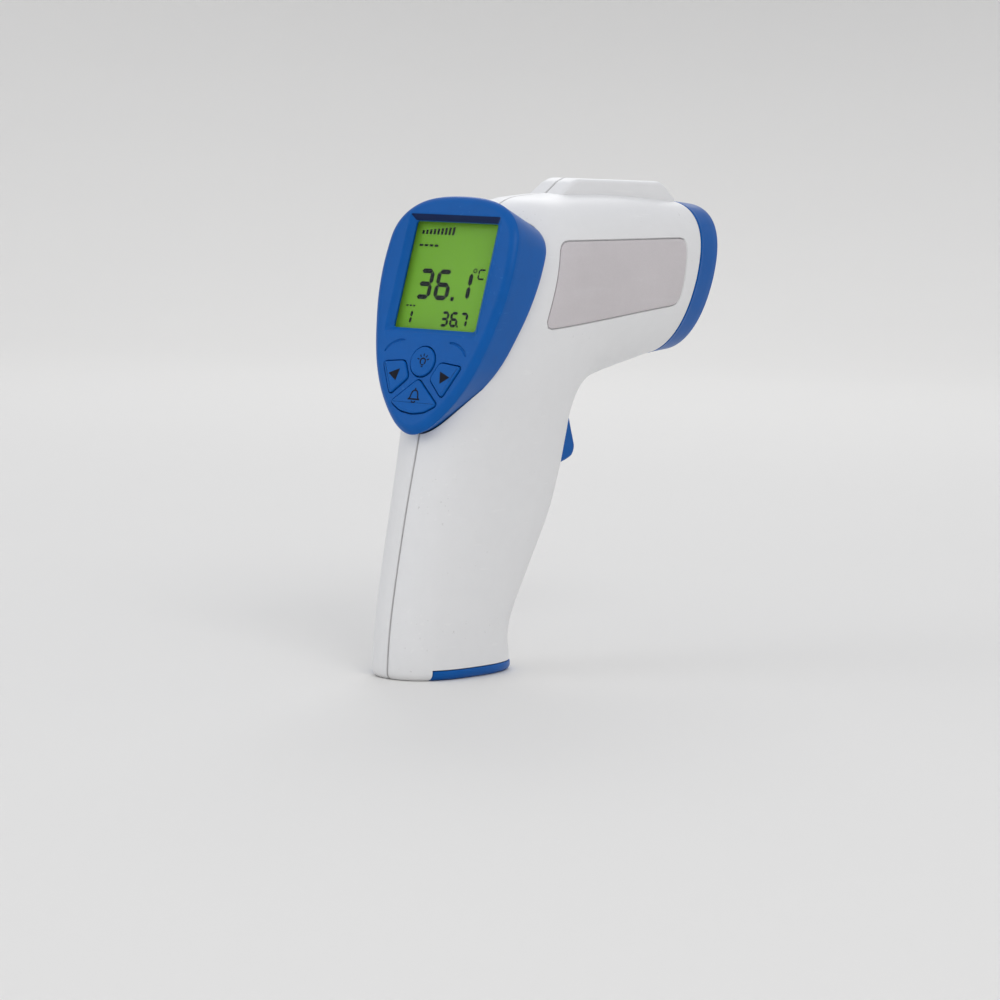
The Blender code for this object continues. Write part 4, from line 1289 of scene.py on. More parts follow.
    def build(self) -> None:
        """Build both halves and ride them on the main body."""
        for name, node, side in (("shell_left", "housing_left", Side.LEFT.value),
                                 ("shell_right", "housing_right", Side.RIGHT.value)):
            item = self.shell(side).tool()
            item.name = name
            carve(item, self.bosses(side), "UNION")
            for hole in self.wells(side):
                carve(item, hole)
            carve(item, self.heel(side), "UNION")
            carve(item, self.openings(side))
            carve(item, self.half_rail(side), "UNION")
            dress(item, WHITE_SHELL, 28.0)
            fit(item, Body.MAIN, [node])


@dataclass
class SidePlates:
    """The grey inlaid plates on both sides of the barrel."""

    corners: tuple = ((-17.6, 128.0), (-25.9, 102.2), (43.6, 108.4), (46.2, 128.6))
    layers: tuple = ((0.0, 0.50), (0.0, 0.16), (-0.05, 0.09), (-0.16, 0.05))

    @staticmethod
    def patch(skin: Skin, side: int, layers: Sequence[tuple[float, float]], count: int = 104) -> None:
        """Add a patch that follows the barrel's side.

        Args:
            skin: The mesh it is added to.
            side: -1 or 1.
            layers: (margin, depth below the surface) of each ring, from one cap to the other.
            count: The points round it.
        """
        base = resample(round_corners(SidePlates.corners, 3.2, 8), count)
        centre = Vector((sum(p[0] for p in base) / count, sum(p[1] for p in base) / count))

        def vert(y: float, z: float, depth: float) -> bmesh.types.BMVert:
            """A vertex at a depth below the surface."""
            return skin.bm.verts.new((side * (FORM.barrel_half(round(y, 4), round(z, 4)) - depth), y, z))

        rows = [[vert(y, z, depth) for y, z in grow(base, margin)] for margin, depth in layers]
        for first, second in zip(rows, rows[1:]):
            skin.band(first, second)
        for row, (margin, depth) in ((rows[0], layers[0]), (rows[-1], layers[-1])):
            last = row
            for scale in (0.9, 0.75, 0.58, 0.4, 0.22, 0.08):
                inner = [vert(centre.x + (y - centre.x) * scale, centre.y + (z - centre.y) * scale, depth)
                         for y, z in grow(base, margin)]
                skin.band(last, inner)
                last = inner
            skin.bm.faces.new(last)

    def build(self) -> None:
        """Build both plates."""
        for name, node, side in (("side_plate_left", "side_label_left", -1),
                                 ("side_plate_right", "side_label_right", 1)):
            skin = Skin()
            self.patch(skin, side, self.layers)
            fit(skin.piece(name, SIDE_FILM), Body.MAIN, [node])


def key_outlines() -> dict[str, Outline]:
    """The four key outlines on the display face."""
    return {
        "light": circle(4.45, 64, (0.0, -14.2)),
        "left": round_corners(((-14.9, -15.0), (-6.8, -14.2), (-4.1, -19.2), (-9.9, -24.6)), 1.3, 7),
        "right": round_corners(((14.9, -15.0), (9.9, -24.6), (4.1, -19.2), (6.8, -14.2)), 1.3, 7),
        "sound": round_corners(((0.0, -19.45), (-8.8, -26.8), (-4.6, -29.2), (0.0, -29.9), (4.6, -29.2),
                                (8.8, -26.8)), 1.3, 7),
    }


@dataclass
class BezelCup:
    """The blue egg-shaped display bezel: rounded front rim, window mouth, key holes, two grooves."""

    count: int = 111
    rim: float = 3.2
    rim_steps: int = 12
    dome: float = math.radians(62.0)
    edge: float = 0.45
    wall: float = 2.0
    front_wall: float = 2.2
    lcd_half: float = 15.7
    lcd_low: float = -4.0
    lcd_high: float = 28.8
    mouth: float = 1.7
    mouth_deep: float = 1.5
    groove: tuple = ((15.6, -11.9), (14.3, -10.2), (12.6, -9.0), (10.6, -8.25), (8.4, -8.0))

    def cup(self) -> Skin:
        """The egg cup before its openings are cut."""
        rings = [FACE.ring(FACE.outline(-5.2, self.count), 0.0), FACE.ring(FACE.outline(-4.0, self.count), 0.0)]
        out = self.rim * (1.0 - math.sin(self.dome)) - self.edge * (1.0 - math.sin(self.dome))
        for k in range(self.rim_steps + 1):
            angle = self.dome * k / self.rim_steps
            rings.append(FACE.ring(FACE.outline(out - self.rim * (1.0 - math.sin(angle)), self.count),
                                   -self.rim * (1.0 - math.cos(angle))))
        turn = -self.rim * (1.0 - math.cos(self.dome))
        for k in range(1, 6):
            angle = self.dome + (math.pi / 2 - self.dome) * k / 5
            turned = turn - self.edge * (math.cos(self.dome) - math.cos(angle))
            rings.append(FACE.ring(FACE.outline(-self.edge * (1.0 - math.sin(angle)), self.count), turned))
        front = FACE.outline(0.0, self.count)
        rear = FACE.rear(0.0, self.count)
        for k in range(1, 9):
            t = k / 9.0
            rings.append([FACE.point(a + (c - a) * t, b + (d - b) * t,
                                     turned + (FACE.depth(d) + BEZEL_LIFT - turned) * t)
                          for (a, b), (c, d) in zip(front, rear)])
        for out, lift in ((-0.02, BEZEL_LIFT), (-0.10, 0.08), (-0.3, 0.0), (-self.wall, 0.0)):
            rings.append([FACE.point(x, v, FACE.depth(v) + lift) for x, v in FACE.rear(out, self.count)])
        rings.append(FACE.ring(FACE.outline(-self.wall + 0.1, self.count), -self.front_wall))
        return Skin().loft(rings)

    def window(self, grown: float, radius: float, steps: int = 5) -> Outline:
        """The display window's outline, grown on all sides."""
        middle = (self.lcd_high + self.lcd_low) / 2.0
        half_v = (self.lcd_high - self.lcd_low) / 2.0
        return rounded_rect(self.lcd_half + grown, half_v + grown, radius, steps, (0.0, middle))

    def key_hole(self, points: Outline) -> Skin:
        """The cutter of one key hole, with a softened rim."""
        return Skin().loft([FACE.ring(grow(points, GAP + out), n)
                            for out, n in ((0.19, 0.3), (0.15, 0.02), (0.06, -0.08), (0.0, -0.22), (0.0, -3.0))])

    def cutters(self) -> Skin:
        """The cutters of the window mouth and the two grooves."""
        skin = Skin()
        rings = []
        for grown, n in ((self.mouth + 0.56, 0.5), (self.mouth + 0.28, 0.05), (self.mouth, -0.10),
                         (0.12, -self.mouth_deep), (0.0, -self.mouth_deep - 0.12), (0.0, -3.0)):
            rings.append(FACE.ring(self.window(grown, 0.9, 6), n))
        skin.loft(rings)
        for side in (-1, 1):
            line = [Vector(spline(self.groove, 4.0 * i / 24)) for i in range(25)]
            rings = []
            for half, n in ((0.50, 0.3), (0.46, 0.02), (0.26, -0.32), (0.10, -0.42)):
                over, under = [], []
                for i, here in enumerate(line):
                    along = (line[min(i + 1, 24)] - line[max(i - 1, 0)]).normalized()
                    taper = math.sqrt(max(1.0 - abs(i / 12.0 - 1.0) ** 6, 0.02))
                    off = Vector((-along.y, along.x)) * half * taper
                    over.append((side * (here.x + off.x), here.y + off.y))
                    under.append((side * (here.x - off.x), here.y - off.y))
                rings.append(FACE.ring(over + under[::-1], n))
            skin.loft(rings)
        return skin

    def build(self) -> None:
        """Build the bezel."""
        item = self.cup().tool()
        item.name = "bezel_cup"
        carve(item, self.cutters())
        for points in key_outlines().values():
            carve(item, self.key_hole(points))
        dress(item, BEZEL_BLUE, 38.0)
        fit(item, Body.MAIN, ["display_bezel"])


@dataclass
class DisplayModule:
    """Lens, liquid crystal cell with its digits, carrier frame, light guide and contact strip."""

    bezel: BezelCup
    lens_low: float = -3.5
    lens_high: float = -2.55
    cell_low: float = -5.2
    cell_high: float = -3.60
    ink_low: float = 0.004
    ink_high: float = 0.05
    segments: dict = field(default_factory=lambda: {
        "1": "bc", "3": "abgcd", "6": "afgecd", "7": "abc", "C": "afed"})

    def plates(self) -> None:
        """The clear lens and the green cell with its polariser step."""
        lens = self.bezel.window(0.9, 0.6)
        fit(Skin().prism(lens, self.lens_low, self.lens_high, FACE.point, 0.12).piece("display_lens", DISPLAY_LENS),
            Body.MAIN, ["lcd_window"])
        cell = self.bezel.window(1.14, 0.5)
        rings = [FACE.ring(cell, self.cell_low), FACE.ring(cell, self.cell_high - 0.06),
                 FACE.ring(grow(cell, -0.03), self.cell_high - 0.02), FACE.ring(grow(cell, -0.08), self.cell_high)]
        fit(Skin().loft(rings).piece("display_cell", DISPLAY_GREEN), Body.MAIN, ["lcd_glass"])

    def _mark(self, skin: Skin, points: Outline) -> None:
        """One printed mark on the cell."""
        skin.prism(points, self.cell_high + self.ink_low, self.cell_high + self.ink_high, FACE.point)

    def bar(self, skin: Skin, start: tuple[float, float], end: tuple[float, float], thick: float) -> None:
        """One display segment: a thin bar with pointed ends."""
        a, b = Vector(start), Vector(end)
        along = (b - a).normalized()
        across = Vector((-along.y, along.x)) * (thick / 2.0)
        gap = 0.03 * thick + 0.03
        a, b = a + along * gap, b - along * gap
        inner = along * (thick / 2.0)
        points = [a, a + inner - across, b - inner - across, b, b - inner + across, a + inner + across]
        self._mark(skin, [(p.x, p.y) for p in points])

    def figure(self, skin: Skin, sign: str, x: float, v: float, wide: float, high: float, thick: float) -> None:
        """Draw one seven-segment figure.

        Args:
            skin: The mesh it is added to.
            sign: A digit, or C for the unit.
            x: Its left edge.
            v: Its lower edge.
            wide: Its width.
            high: Its height.
            thick: The thickness of its bars.
        """
        half = thick / 2.0
        left, right = x + half, x + wide - half
        low, mid, top = v + half, v + high / 2.0, v + high - half
        ends = {"a": ((left, top), (right, top)), "b": ((right, mid), (right, top)),
                "c": ((right, low), (right, mid)), "d": ((left, low), (right, low)),
                "e": ((left, low), (left, mid)), "f": ((left, mid), (left, top)),
                "g": ((left, mid), (right, mid))}
        for name in self.segments[sign]:
            self.bar(skin, *ends[name], thick)

    def digits(self) -> None:
        """The reading, its unit, the stored reading and plain level bars."""
        skin = Skin()
        for sign, x in (("3", -11.9), ("6", -4.9), ("1", 3.0)):
            self.figure(skin, sign, x, 5.4, 5.8, 9.4, 1.45)
        self._mark(skin, rounded_rect(0.62, 0.62, 0.2, 3, (2.6, 6.0)))
        low, high = self.cell_high + self.ink_low, self.cell_high + self.ink_high
        skin.loft([FACE.ring(circle(r, 24, (9.1, 14.9)), n)
                   for r, n in ((0.75, low), (0.75, high), (0.42, high), (0.42, low))], closed=True)
        self.figure(skin, "C", 10.4, 12.2, 2.9, 3.3, 0.55)
        for sign, x in (("1", -14.2), ("3", -0.1), ("6", 3.5), ("7", 7.1)):
            self.figure(skin, sign, x, -2.5, 3.1, 4.7, 0.86)
        self._mark(skin, rounded_rect(0.32, 0.32, 0.1, 2, (6.75, -2.15)))
        for i in range(9):
            tall = 1.2 + 0.16 * i
            self._mark(skin, rounded_rect(0.42, tall / 2, 0.12, 2, (-14.0 + 1.45 * i, 25.3 + tall / 2)))
        for i in range(4):
            self._mark(skin, rounded_rect(0.72, 0.34, 0.12, 2, (-13.7 + 1.95 * i, 21.9)))
        for i in range(3):
            self._mark(skin, rounded_rect(0.42, 0.26, 0.1, 2, (-13.9 + 1.3 * i, 3.3)))
        fit(skin.piece("display_digits", SEGMENT_BLACK), Body.MAIN)

    def build(self) -> None:
        """Build the module and finish the pieces under it."""
        self.plates()
        self.digits()
        finish_node("lcd_frame", BLACK_NYLON)
        finish_node("lcd_backlight", LIGHT_GUIDE)
        finish_node("zebra_strip", STRIP_STRIPES)


@dataclass
class Keypad:
    """Four blue push keys, their black signs and the rubber mat under them."""

    proud: float = 0.5
    edge: float = 0.42
    bodies: dict = field(default_factory=lambda: {
        "light": Body.LIGHT_KEY, "left": Body.LEFT_KEY, "right": Body.RIGHT_KEY, "sound": Body.SOUND_KEY})

    def cap(self, name: str, points: Outline) -> None:
        """One key: flange, stem and softly crowned top."""
        rings = [FACE.ring(grow(points, 0.35), -3.3), FACE.ring(grow(points, 0.35), -2.6),
                 FACE.ring(points, -2.6)]
        for k in range(7):
            angle = math.pi / 2 * k / 6
            rings.append(FACE.ring(grow(points, -self.edge * (1.0 - math.cos(angle))),
                                   self.proud - self.edge * (1.0 - math.sin(angle))))
        rings.append(FACE.ring(grow(points, -self.edge - 0.35), self.proud))
        fit(Skin().loft(rings).piece("key_" + name, BLUE_KEY, 40.0), self.bodies[name], ["button_" + name])

    def _stroke(self, skin: Skin, line: Outline, wide: float) -> None:
        """A thin raised stroke along a line."""
        points = [Vector(p) for p in line]
        over, under = [], []
        for i, here in enumerate(points):
            along = (points[min(i + 1, len(points) - 1)] - points[max(i - 1, 0)]).normalized()
            off = Vector((-along.y, along.x)) * wide / 2.0
            over.append((here.x + off.x, here.y + off.y))
            under.append((here.x - off.x, here.y - off.y))
        self._fill(skin, over + under[::-1])

    def _fill(self, skin: Skin, points: Outline) -> None:
        """A thin raised patch."""
        skin.prism(points, self.proud - 0.02, self.proud + 0.045, FACE.point)

    def signs(self) -> None:
        """Lamp, two arrows and a bell, each on its key."""
        lamp = Skin()
        arc = [(0.35 + 0.95 * math.sin(a), -14.2 + 0.95 * math.cos(a))
               for a in [math.radians(-140.0 + 280.0 * i / 20) for i in range(21)]]
        self._stroke(lamp, arc, 0.42)
        self._fill(lamp, rounded_rect(0.50, 0.20, 0.1, 2, (0.35, -15.25)))
        self._fill(lamp, rounded_rect(0.34, 0.16, 0.1, 2, (0.35, -15.80)))
        for angle in (-70.0, -35.0, 0.0, 35.0, 70.0):
            a = math.radians(angle)
            self._stroke(lamp, [(0.35 + r * math.sin(a), -14.2 + r * math.cos(a)) for r in (1.55, 2.35)], 0.34)
        fit(lamp.piece("sign_lamp", SIGN_BLACK), Body.LIGHT_KEY)
        arrow = [(7.7, -16.8), (8.5, -20.5), (11.7, -18.4)]
        right = Skin()
        self._fill(right, round_corners(arrow, 0.2, 2))
        fit(right.piece("sign_forward", SIGN_BLACK), Body.RIGHT_KEY)
        left = Skin()
        self._fill(left, round_corners([(-x, v) for x, v in reversed(arrow)], 0.2, 2))
        fit(left.piece("sign_back", SIGN_BLACK), Body.LEFT_KEY)
        bell = Skin()
        dome = [(-1.75, -25.6), (-1.45, -25.1), (-1.3, -24.2), (-0.95, -23.4), (-0.4, -23.0), (0.4, -23.0),
                (0.95, -23.4), (1.3, -24.2), (1.45, -25.1), (1.75, -25.6)]
        self._stroke(bell, dome, 0.42)
        self._stroke(bell, [(-2.2, -25.65), (2.2, -25.65)], 0.46)
        self._stroke(bell, [(-0.75, -26.2), (-0.4, -26.6), (0.4, -26.6), (0.75, -26.2)], 0.38)
        self._fill(bell, circle(0.28, 12, (0.0, -22.5)))
        fit(bell.piece("sign_bell", SIGN_BLACK), Body.SOUND_KEY)

    def build(self) -> None:
        """Build the keys and their signs."""
        for name, points in key_outlines().items():
            self.cap(name, points)
        self.signs()
        finish_node("key_mat", MAT_RUBBER)


@dataclass
class NozzleUnit:
    """Blue nozzle ring with its funnel, and the sensor train behind it."""

    count: int = 144
    sensor_y: float = 45.0
    sensor_z: float = 116.5

    def _ring(self, s: float, inset: float, shift: float = 0.0) -> Ring:
        """A closed section of the case, moved forward."""
        return [FORM.section(s, 2.0 * math.pi * i / self.count, inset) + Vector((0.0, shift, 0.0))
                for i in range(self.count)]

    def _round(self, radius: float, y: float) -> Ring:
        """A circle about the sensor's axis."""
        turns = [2.0 * math.pi * i / self.count for i in range(self.count)]
        return [Vector((radius * math.sin(t), y, self.sensor_z - radius * math.cos(t))) for t in turns]

    def _axis(self, a: float, b: float, h: float) -> Vector:
        """Place of a turned point on the sensor's axis."""
        return Vector((a, h, self.sensor_z + b))

    def ring(self) -> None:
        """The blue ring: rounded lip, dished funnel and bore."""
        end = FORM.nozzle_end
        y = self.sensor_y
        rings = [self._ring(FORM.body_end, 0.30, GAP), self._ring(FORM.body_end, 0.08, GAP + 0.06),
                 self._ring(FORM.body_end, 0.0, GAP + 0.25)]
        rings += [self._ring(FORM.body_end + s, 0.0) for s in (0.08, 0.2, 0.32, 0.44, 0.56, 0.64)]
        for k in range(9):
            angle = math.pi * k / 8
            rings.append(self._ring(end - 0.07 + 0.07 * math.sin(angle), 0.75 - 0.75 * math.cos(angle)))
        inner = self._ring(end - 0.12, 2.1)
        rings.append(inner)
        dish = self._round(11.6, y + 5.8)
        for k in range(1, 9):
            t = k / 8.0
            rings.append([a.lerp(b, t) + Vector((0.0, -1.2 * math.sin(math.pi * t), 0.0))
                          for a, b in zip(inner, dish)])
        for radius, at in ((10.6, 5.1), (9.6, 4.2), (8.9, 3.5), (8.5, 2.9), (8.4, 2.3), (8.4, 1.2), (13.2, 1.6)):
            rings.append(self._round(radius, y + at))
        rings.append(self._ring(FORM.body_end, 2.6, GAP))
        fit(Skin().loft(rings, closed=True).piece("nozzle_ring", BLUE_SHELL, 38.0), Body.MAIN, ["nozzle_cap"])

    def sensor(self) -> None:
        """Polished horn, black sleeve, sensor can with its dark window."""
        horn = [(8.0, 3.6), (8.0, -4.0), (4.4, -9.0), (3.7, -9.0)]
        horn += [(3.7 + 3.3 * (k / 10.0) ** 0.75, -9.0 + 12.2 * k / 10.0) for k in range(1, 11)]
        horn += [(7.2, 3.5), (7.6, 3.7)]
        sleeve = [(10.2, 0.1), (10.2, -16.7), (9.9, -17.0), (5.5, -17.0), (5.5, -9.4), (8.4, -4.4), (8.4, 0.4),
                  (9.9, 0.4)]
        can = [(4.9, -16.2), (4.9, -15.55), (4.75, -15.4), (4.3, -15.4), (4.2, -15.2), (4.2, -10.9),
               (4.0, -10.4), (3.6, -10.2), (1.9, -10.2), (1.8, -10.4)]
        glass = [(1.75, -10.45), (1.75, -10.2), (1.6, -10.12), (1.0, -10.1)]
        for name, profile, count, closed, finish, smooth, nodes in (
                ("sensor_horn", horn, 72, True, HORN_CHROME, 40.0, ["sensor_cone"]),
                ("sensor_barrel", sleeve, 64, True, BLACK_NYLON, 32.0, ["sensor_sleeve"]),
                ("sensor_can", can, 56, False, STEEL, 40.0, ["thermopile_can"]),
                ("sensor_window", glass, 40, False, SENSOR_WINDOW, 32.0, [])):
            placed = [(radius, self.sensor_y + at) for radius, at in profile]
            fit(Skin().turned(placed, count, self._axis, closed).piece(name, finish, smooth), Body.MAIN, nodes)
        finish_node("sensor_board", UPRIGHT_MASK)

    def build(self) -> None:
        """Build the nozzle and the sensor train."""
        self.ring()
        self.sensor()


@dataclass
class TriggerUnit:
    """Blue trigger with rounded edges, its pin, spring, switch and plunger."""

    sweep: Sweep
    pivot_y: float = -1.0
    pivot_z: float = 79.5
    half: float = 4.9
    outline: tuple = (
        (5.8, 79.2), (7.4, 76.6), (8.6, 73.4), (9.7, 70.2), (10.9, 66.8), (11.4, 64.9), (10.9, 62.9),
        (9.3, 61.4), (4.0, 59.8), (-3.0, 59.1), (-4.4, 60.6), (-4.4, 74.0), (-4.6, 79.0), (-2.6, 82.2),
        (0.4, 82.6),
    )

    def lever(self) -> None:
        """The trigger: edges rounded over, finger face slightly hollow across."""
        line = [spline(self.outline, 9.0 * i / 60) for i in range(61)] + list(self.outline[10:])
        rings = []
        stops = [(-self.half + 1.3 * (1.0 - math.cos(a)), 1.3 * (1.0 - math.sin(a)))
                 for a in [math.pi / 2 * k / 7 for k in range(8)]]
        middle = [(-2.4, 0.12), (-1.2, 0.2), (0.0, 0.22), (1.2, 0.2), (2.4, 0.12)]
        profile = stops + middle + [(-x, inset) for x, inset in reversed(stops)]
        for x, inset in profile:
            ring = []
            for (y, z), (gy, gz) in zip(line, grow(line, -inset)):
                front = ease((y - 1.0) / 3.0)
                ring.append(Vector((x, y + (gy - y) * front, z + (gz - z) * front)))
            rings.append(ring)
        item = Skin().loft(rings).tool()
        item.name = "trigger_lever"
        carve(item, Skin().prism(circle(1.3, 32, (self.pivot_y, self.pivot_z)), -9.0, 9.0, side_place))
        notch = Skin().prism([(-8.0, 76.2), (2.6, 76.2), (2.6, 84.0), (-8.0, 84.0)], -2.2, 2.2, side_place)
        carve(item, notch)
        dress(item, BLUE_KEY, 40.0)
        fit(item, Body.TRIGGER, ["trigger"])

    def spring(self) -> None:
        """The torsion spring, coiled round the pin."""
        y, z, r = self.pivot_y, self.pivot_z, 1.85
        path = [Vector((-1.45, y - 6.4, z + 1.0)), Vector((-1.45, y - 3.2, z + 1.7))]
        for i in range(109):
            angle = math.pi / 2 + 2.0 * math.pi * i / 36
            path.append(Vector((-1.45 + 0.95 * i / 36, y + r * math.cos(angle), z + r * math.sin(angle))))
        fit(self.sweep.along("return_spring", path, 0.3, STEEL), Body.MAIN, ["trigger_spring"])

    def build(self) -> None:
        """Build the trigger and finish what is behind it."""
        self.lever()
        self.spring()
        finish_node("trigger_pin", STEEL)
        finish_node("trigger_switch", BLACK_NYLON)
        finish_node("switch_plunger", PALE_NYLON)
        finish_node("switch_board", UPRIGHT_MASK)


@dataclass
class GripPower:
    """Two cells in their tray, contacts, and the blue base door with its ridged underside."""

    scatter: Scatter
    lean: float = math.radians(12.5)
    cell_r: float = 5.1
    cell_long: float = 43.5
    cell_y: float = -44.5
    cell_z: float = 10.5

    def point(self, x: float, f: float, l: float) -> Vector:
        """World point of grip coordinates: x across, f forwards, l up the leaning grip."""
        return Vector((x, self.cell_y + f * math.cos(self.lean) + l * math.sin(self.lean),
                       self.cell_z - f * math.sin(self.lean) + l * math.cos(self.lean)))

    def cells(self) -> None:
        """The two cells: sleeve, crimped shoulder, steel end and button."""
        r, long = self.cell_r, self.cell_long
        profile = [(r - 1.2, 0.0), (r - 0.55, 0.02), (r - 0.25, 0.15), (r - 0.05, 0.5), (r, 0.9), (r, long - 1.1),
                   (r - 0.08, long - 0.7), (r - 0.35, long - 0.35), (r - 0.8, long - 0.2), (r - 1.1, long - 0.32),
                   (2.3, long - 0.30), (1.95, long - 0.1), (1.9, long + 0.6), (1.7, long + 0.86), (1.2, long + 0.9)]
        for i, (x, flip) in enumerate(((-5.6, False), (5.6, True))):
            rings = []
            for radius, l in profile:
                at = long + 1.0 - l if flip else l + 0.6
                rings.append([self.point(x + a, b, at) for a, b in circle(radius, 56)])
            lower, upper = (SLEEVE_COPPER, SLEEVE_BLACK) if flip else (SLEEVE_BLACK, SLEEVE_COPPER)
            sleeve = CellSleeve("cell_sleeve_%d" % (i + 1), self.lean, 0.013 if flip else 0.031,
                                lower=lower, upper=upper)
            fit(Skin().loft(rings).piece("cell_%d" % (i + 1), sleeve, 40.0), Body.MAIN, ["battery_%d" % (i + 1)])

    def door(self) -> None:
        """The base door: rounded foot edge, straight back edge, recess for the ridges."""
        rings = []
        for z in (0.0, 0.08, 0.22, 0.42, 0.7, 1.05, 1.5, 2.0, 2.4, DOOR_HIGH - 0.15, DOOR_HIGH):
            inset = FORM.foot_inset(z) + (0.15 if z == DOOR_HIGH else 0.0)
            ring = [FORM.section(z / 5.0, 2.0 * math.pi * i / 160, inset) for i in range(160)]
            rings.append([Vector((p.x, p.y, z)) for p in ring])
        item = Skin().loft(rings).tool()
        item.name = "base_door"
        cuts = Skin()
        cuts.prism([(-30.0, -90.0), (30.0, -90.0), (30.0, DOOR_BACK + GAP),
                    (-30.0, DOOR_BACK + GAP)], -5.0, 8.0, upright)
        cuts.prism(rounded_rect(8.0, 8.0, 2.0, 6, (0.0, -36.0)), -2.0, 0.55, upright)
        carve(item, cuts)
        dress(item, BLUE_SHELL, 38.0)
        fit(item, Body.DOOR, ["battery_door"])
        ridge = Skin()
        for_ridge = [(-0.42, 0.0), (-0.34, 0.24), (-0.16, 0.40), (0.0, 0.44), (0.16, 0.40), (0.34, 0.24), (0.42, 0.0)]
        ridge.loft([[Vector((x, a * k, b * k)) for a, b in for_ridge]
                    for x, k in ((-6.6, 0.3), (-6.3, 0.8), (-6.0, 1.0), (6.0, 1.0), (6.3, 0.8), (6.6, 0.3))])
        places = [(Vector((0.0, -42.0 + 2.0 * i, 0.50)), Vector((0.0, 0.0, -1.0)), UNIT)
                  for i in range(7)]
        fit(self.scatter.lay("door_ridges", ridge, places, BLUE_SHELL), Body.DOOR)

    def build(self) -> None:
        """Build the cells and the door and finish the tray and contacts."""
        self.cells()
        self.door()
        finish_node("battery_tray", BLACK_NYLON)
        for name in ("contact_plus", "contact_minus", "contact_bridge"):
            finish_node(name, NICKEL)


@dataclass
class Fasteners:
    """Cross-recessed screws: five in the case, four in the board."""

    scatter: Scatter
    housing: HousingPair
    turn_points: int = 48

    def screw(self, head_r: float, head_h: float, shank_r: float, shank_l: float) -> Skin:
        """A pan-head screw about the origin, head up.

        Args:
            head_r: The head's radius.
            head_h: Its height.
            shank_r: The shank's radius.
            shank_l: Its length.

        Returns:
            The mesh.
        """
        turns = [2.0 * math.pi * i / self.turn_points for i in range(self.turn_points)]
        rings = []
        pitch = shank_r * 0.62
        threads = int((shank_l - 1.0) / pitch)
        profile = [(0.1, -shank_l), (shank_r * 0.55, -shank_l + 0.5)]
        for k in range(threads):
            z = -shank_l + 0.7 + k * pitch
            profile += [(shank_r * 0.80, z), (shank_r, z + pitch * 0.5)]
        profile += [(shank_r * 0.8, -0.15), (shank_r, 0.0), (head_r * 0.96, 0.0), (head_r, 0.12)]
        profile += [(head_r, head_h * 0.42), (head_r * 0.95, head_h * 0.66), (head_r * 0.84, head_h * 0.84)]
        for radius, height in profile:
            rings.append([Vector((radius * math.cos(t), radius * math.sin(t), height)) for t in turns])
        reach, arm = head_r * 0.60, head_r * 0.15
        for share in (0.72, 0.62, 0.59, 0.5, 0.4, 0.3, 0.22, 0.17, 0.14, 0.08, 0.02):
            ring = []
            for t in turns:
                x, y = head_r * share * math.cos(t), head_r * share * math.sin(t)
                top = head_h * (0.84 + 0.16 * (1.0 - share ** 2))
                inside = min(abs(x), abs(y)) < arm and head_r * share < reach
                ring.append(Vector((x, y, top - (head_h * 0.55 * (1.0 - 0.4 * share) if inside else 0.0))))
            rings.append(ring)
        return Skin().loft(rings)

    def build(self) -> None:
        """Lay both sets of screws."""
        places = [(Vector((-4.3, y, z)), Vector((-1.0, 0.0, 0.0)), UNIT) for y, z in self.housing.screws]
        item = self.scatter.lay("case_screws", self.screw(2.3, 1.4, 1.2, 12.6), places, STEEL)
        fit(item, Body.MAIN, ["housing_screw_%d" % (i + 1) for i in range(len(places))])
        places = [(FACE.point(x, v, -10.7), -FACE.normal(), UNIT) for x, v in BOARD_SCREWS]
        item = self.scatter.lay("mainboard_screws", self.screw(1.6, 1.0, 0.9, 2.6), places, STEEL)
        fit(item, Body.MAIN, ["board_screw_%d" % (i + 1) for i in range(len(places))])


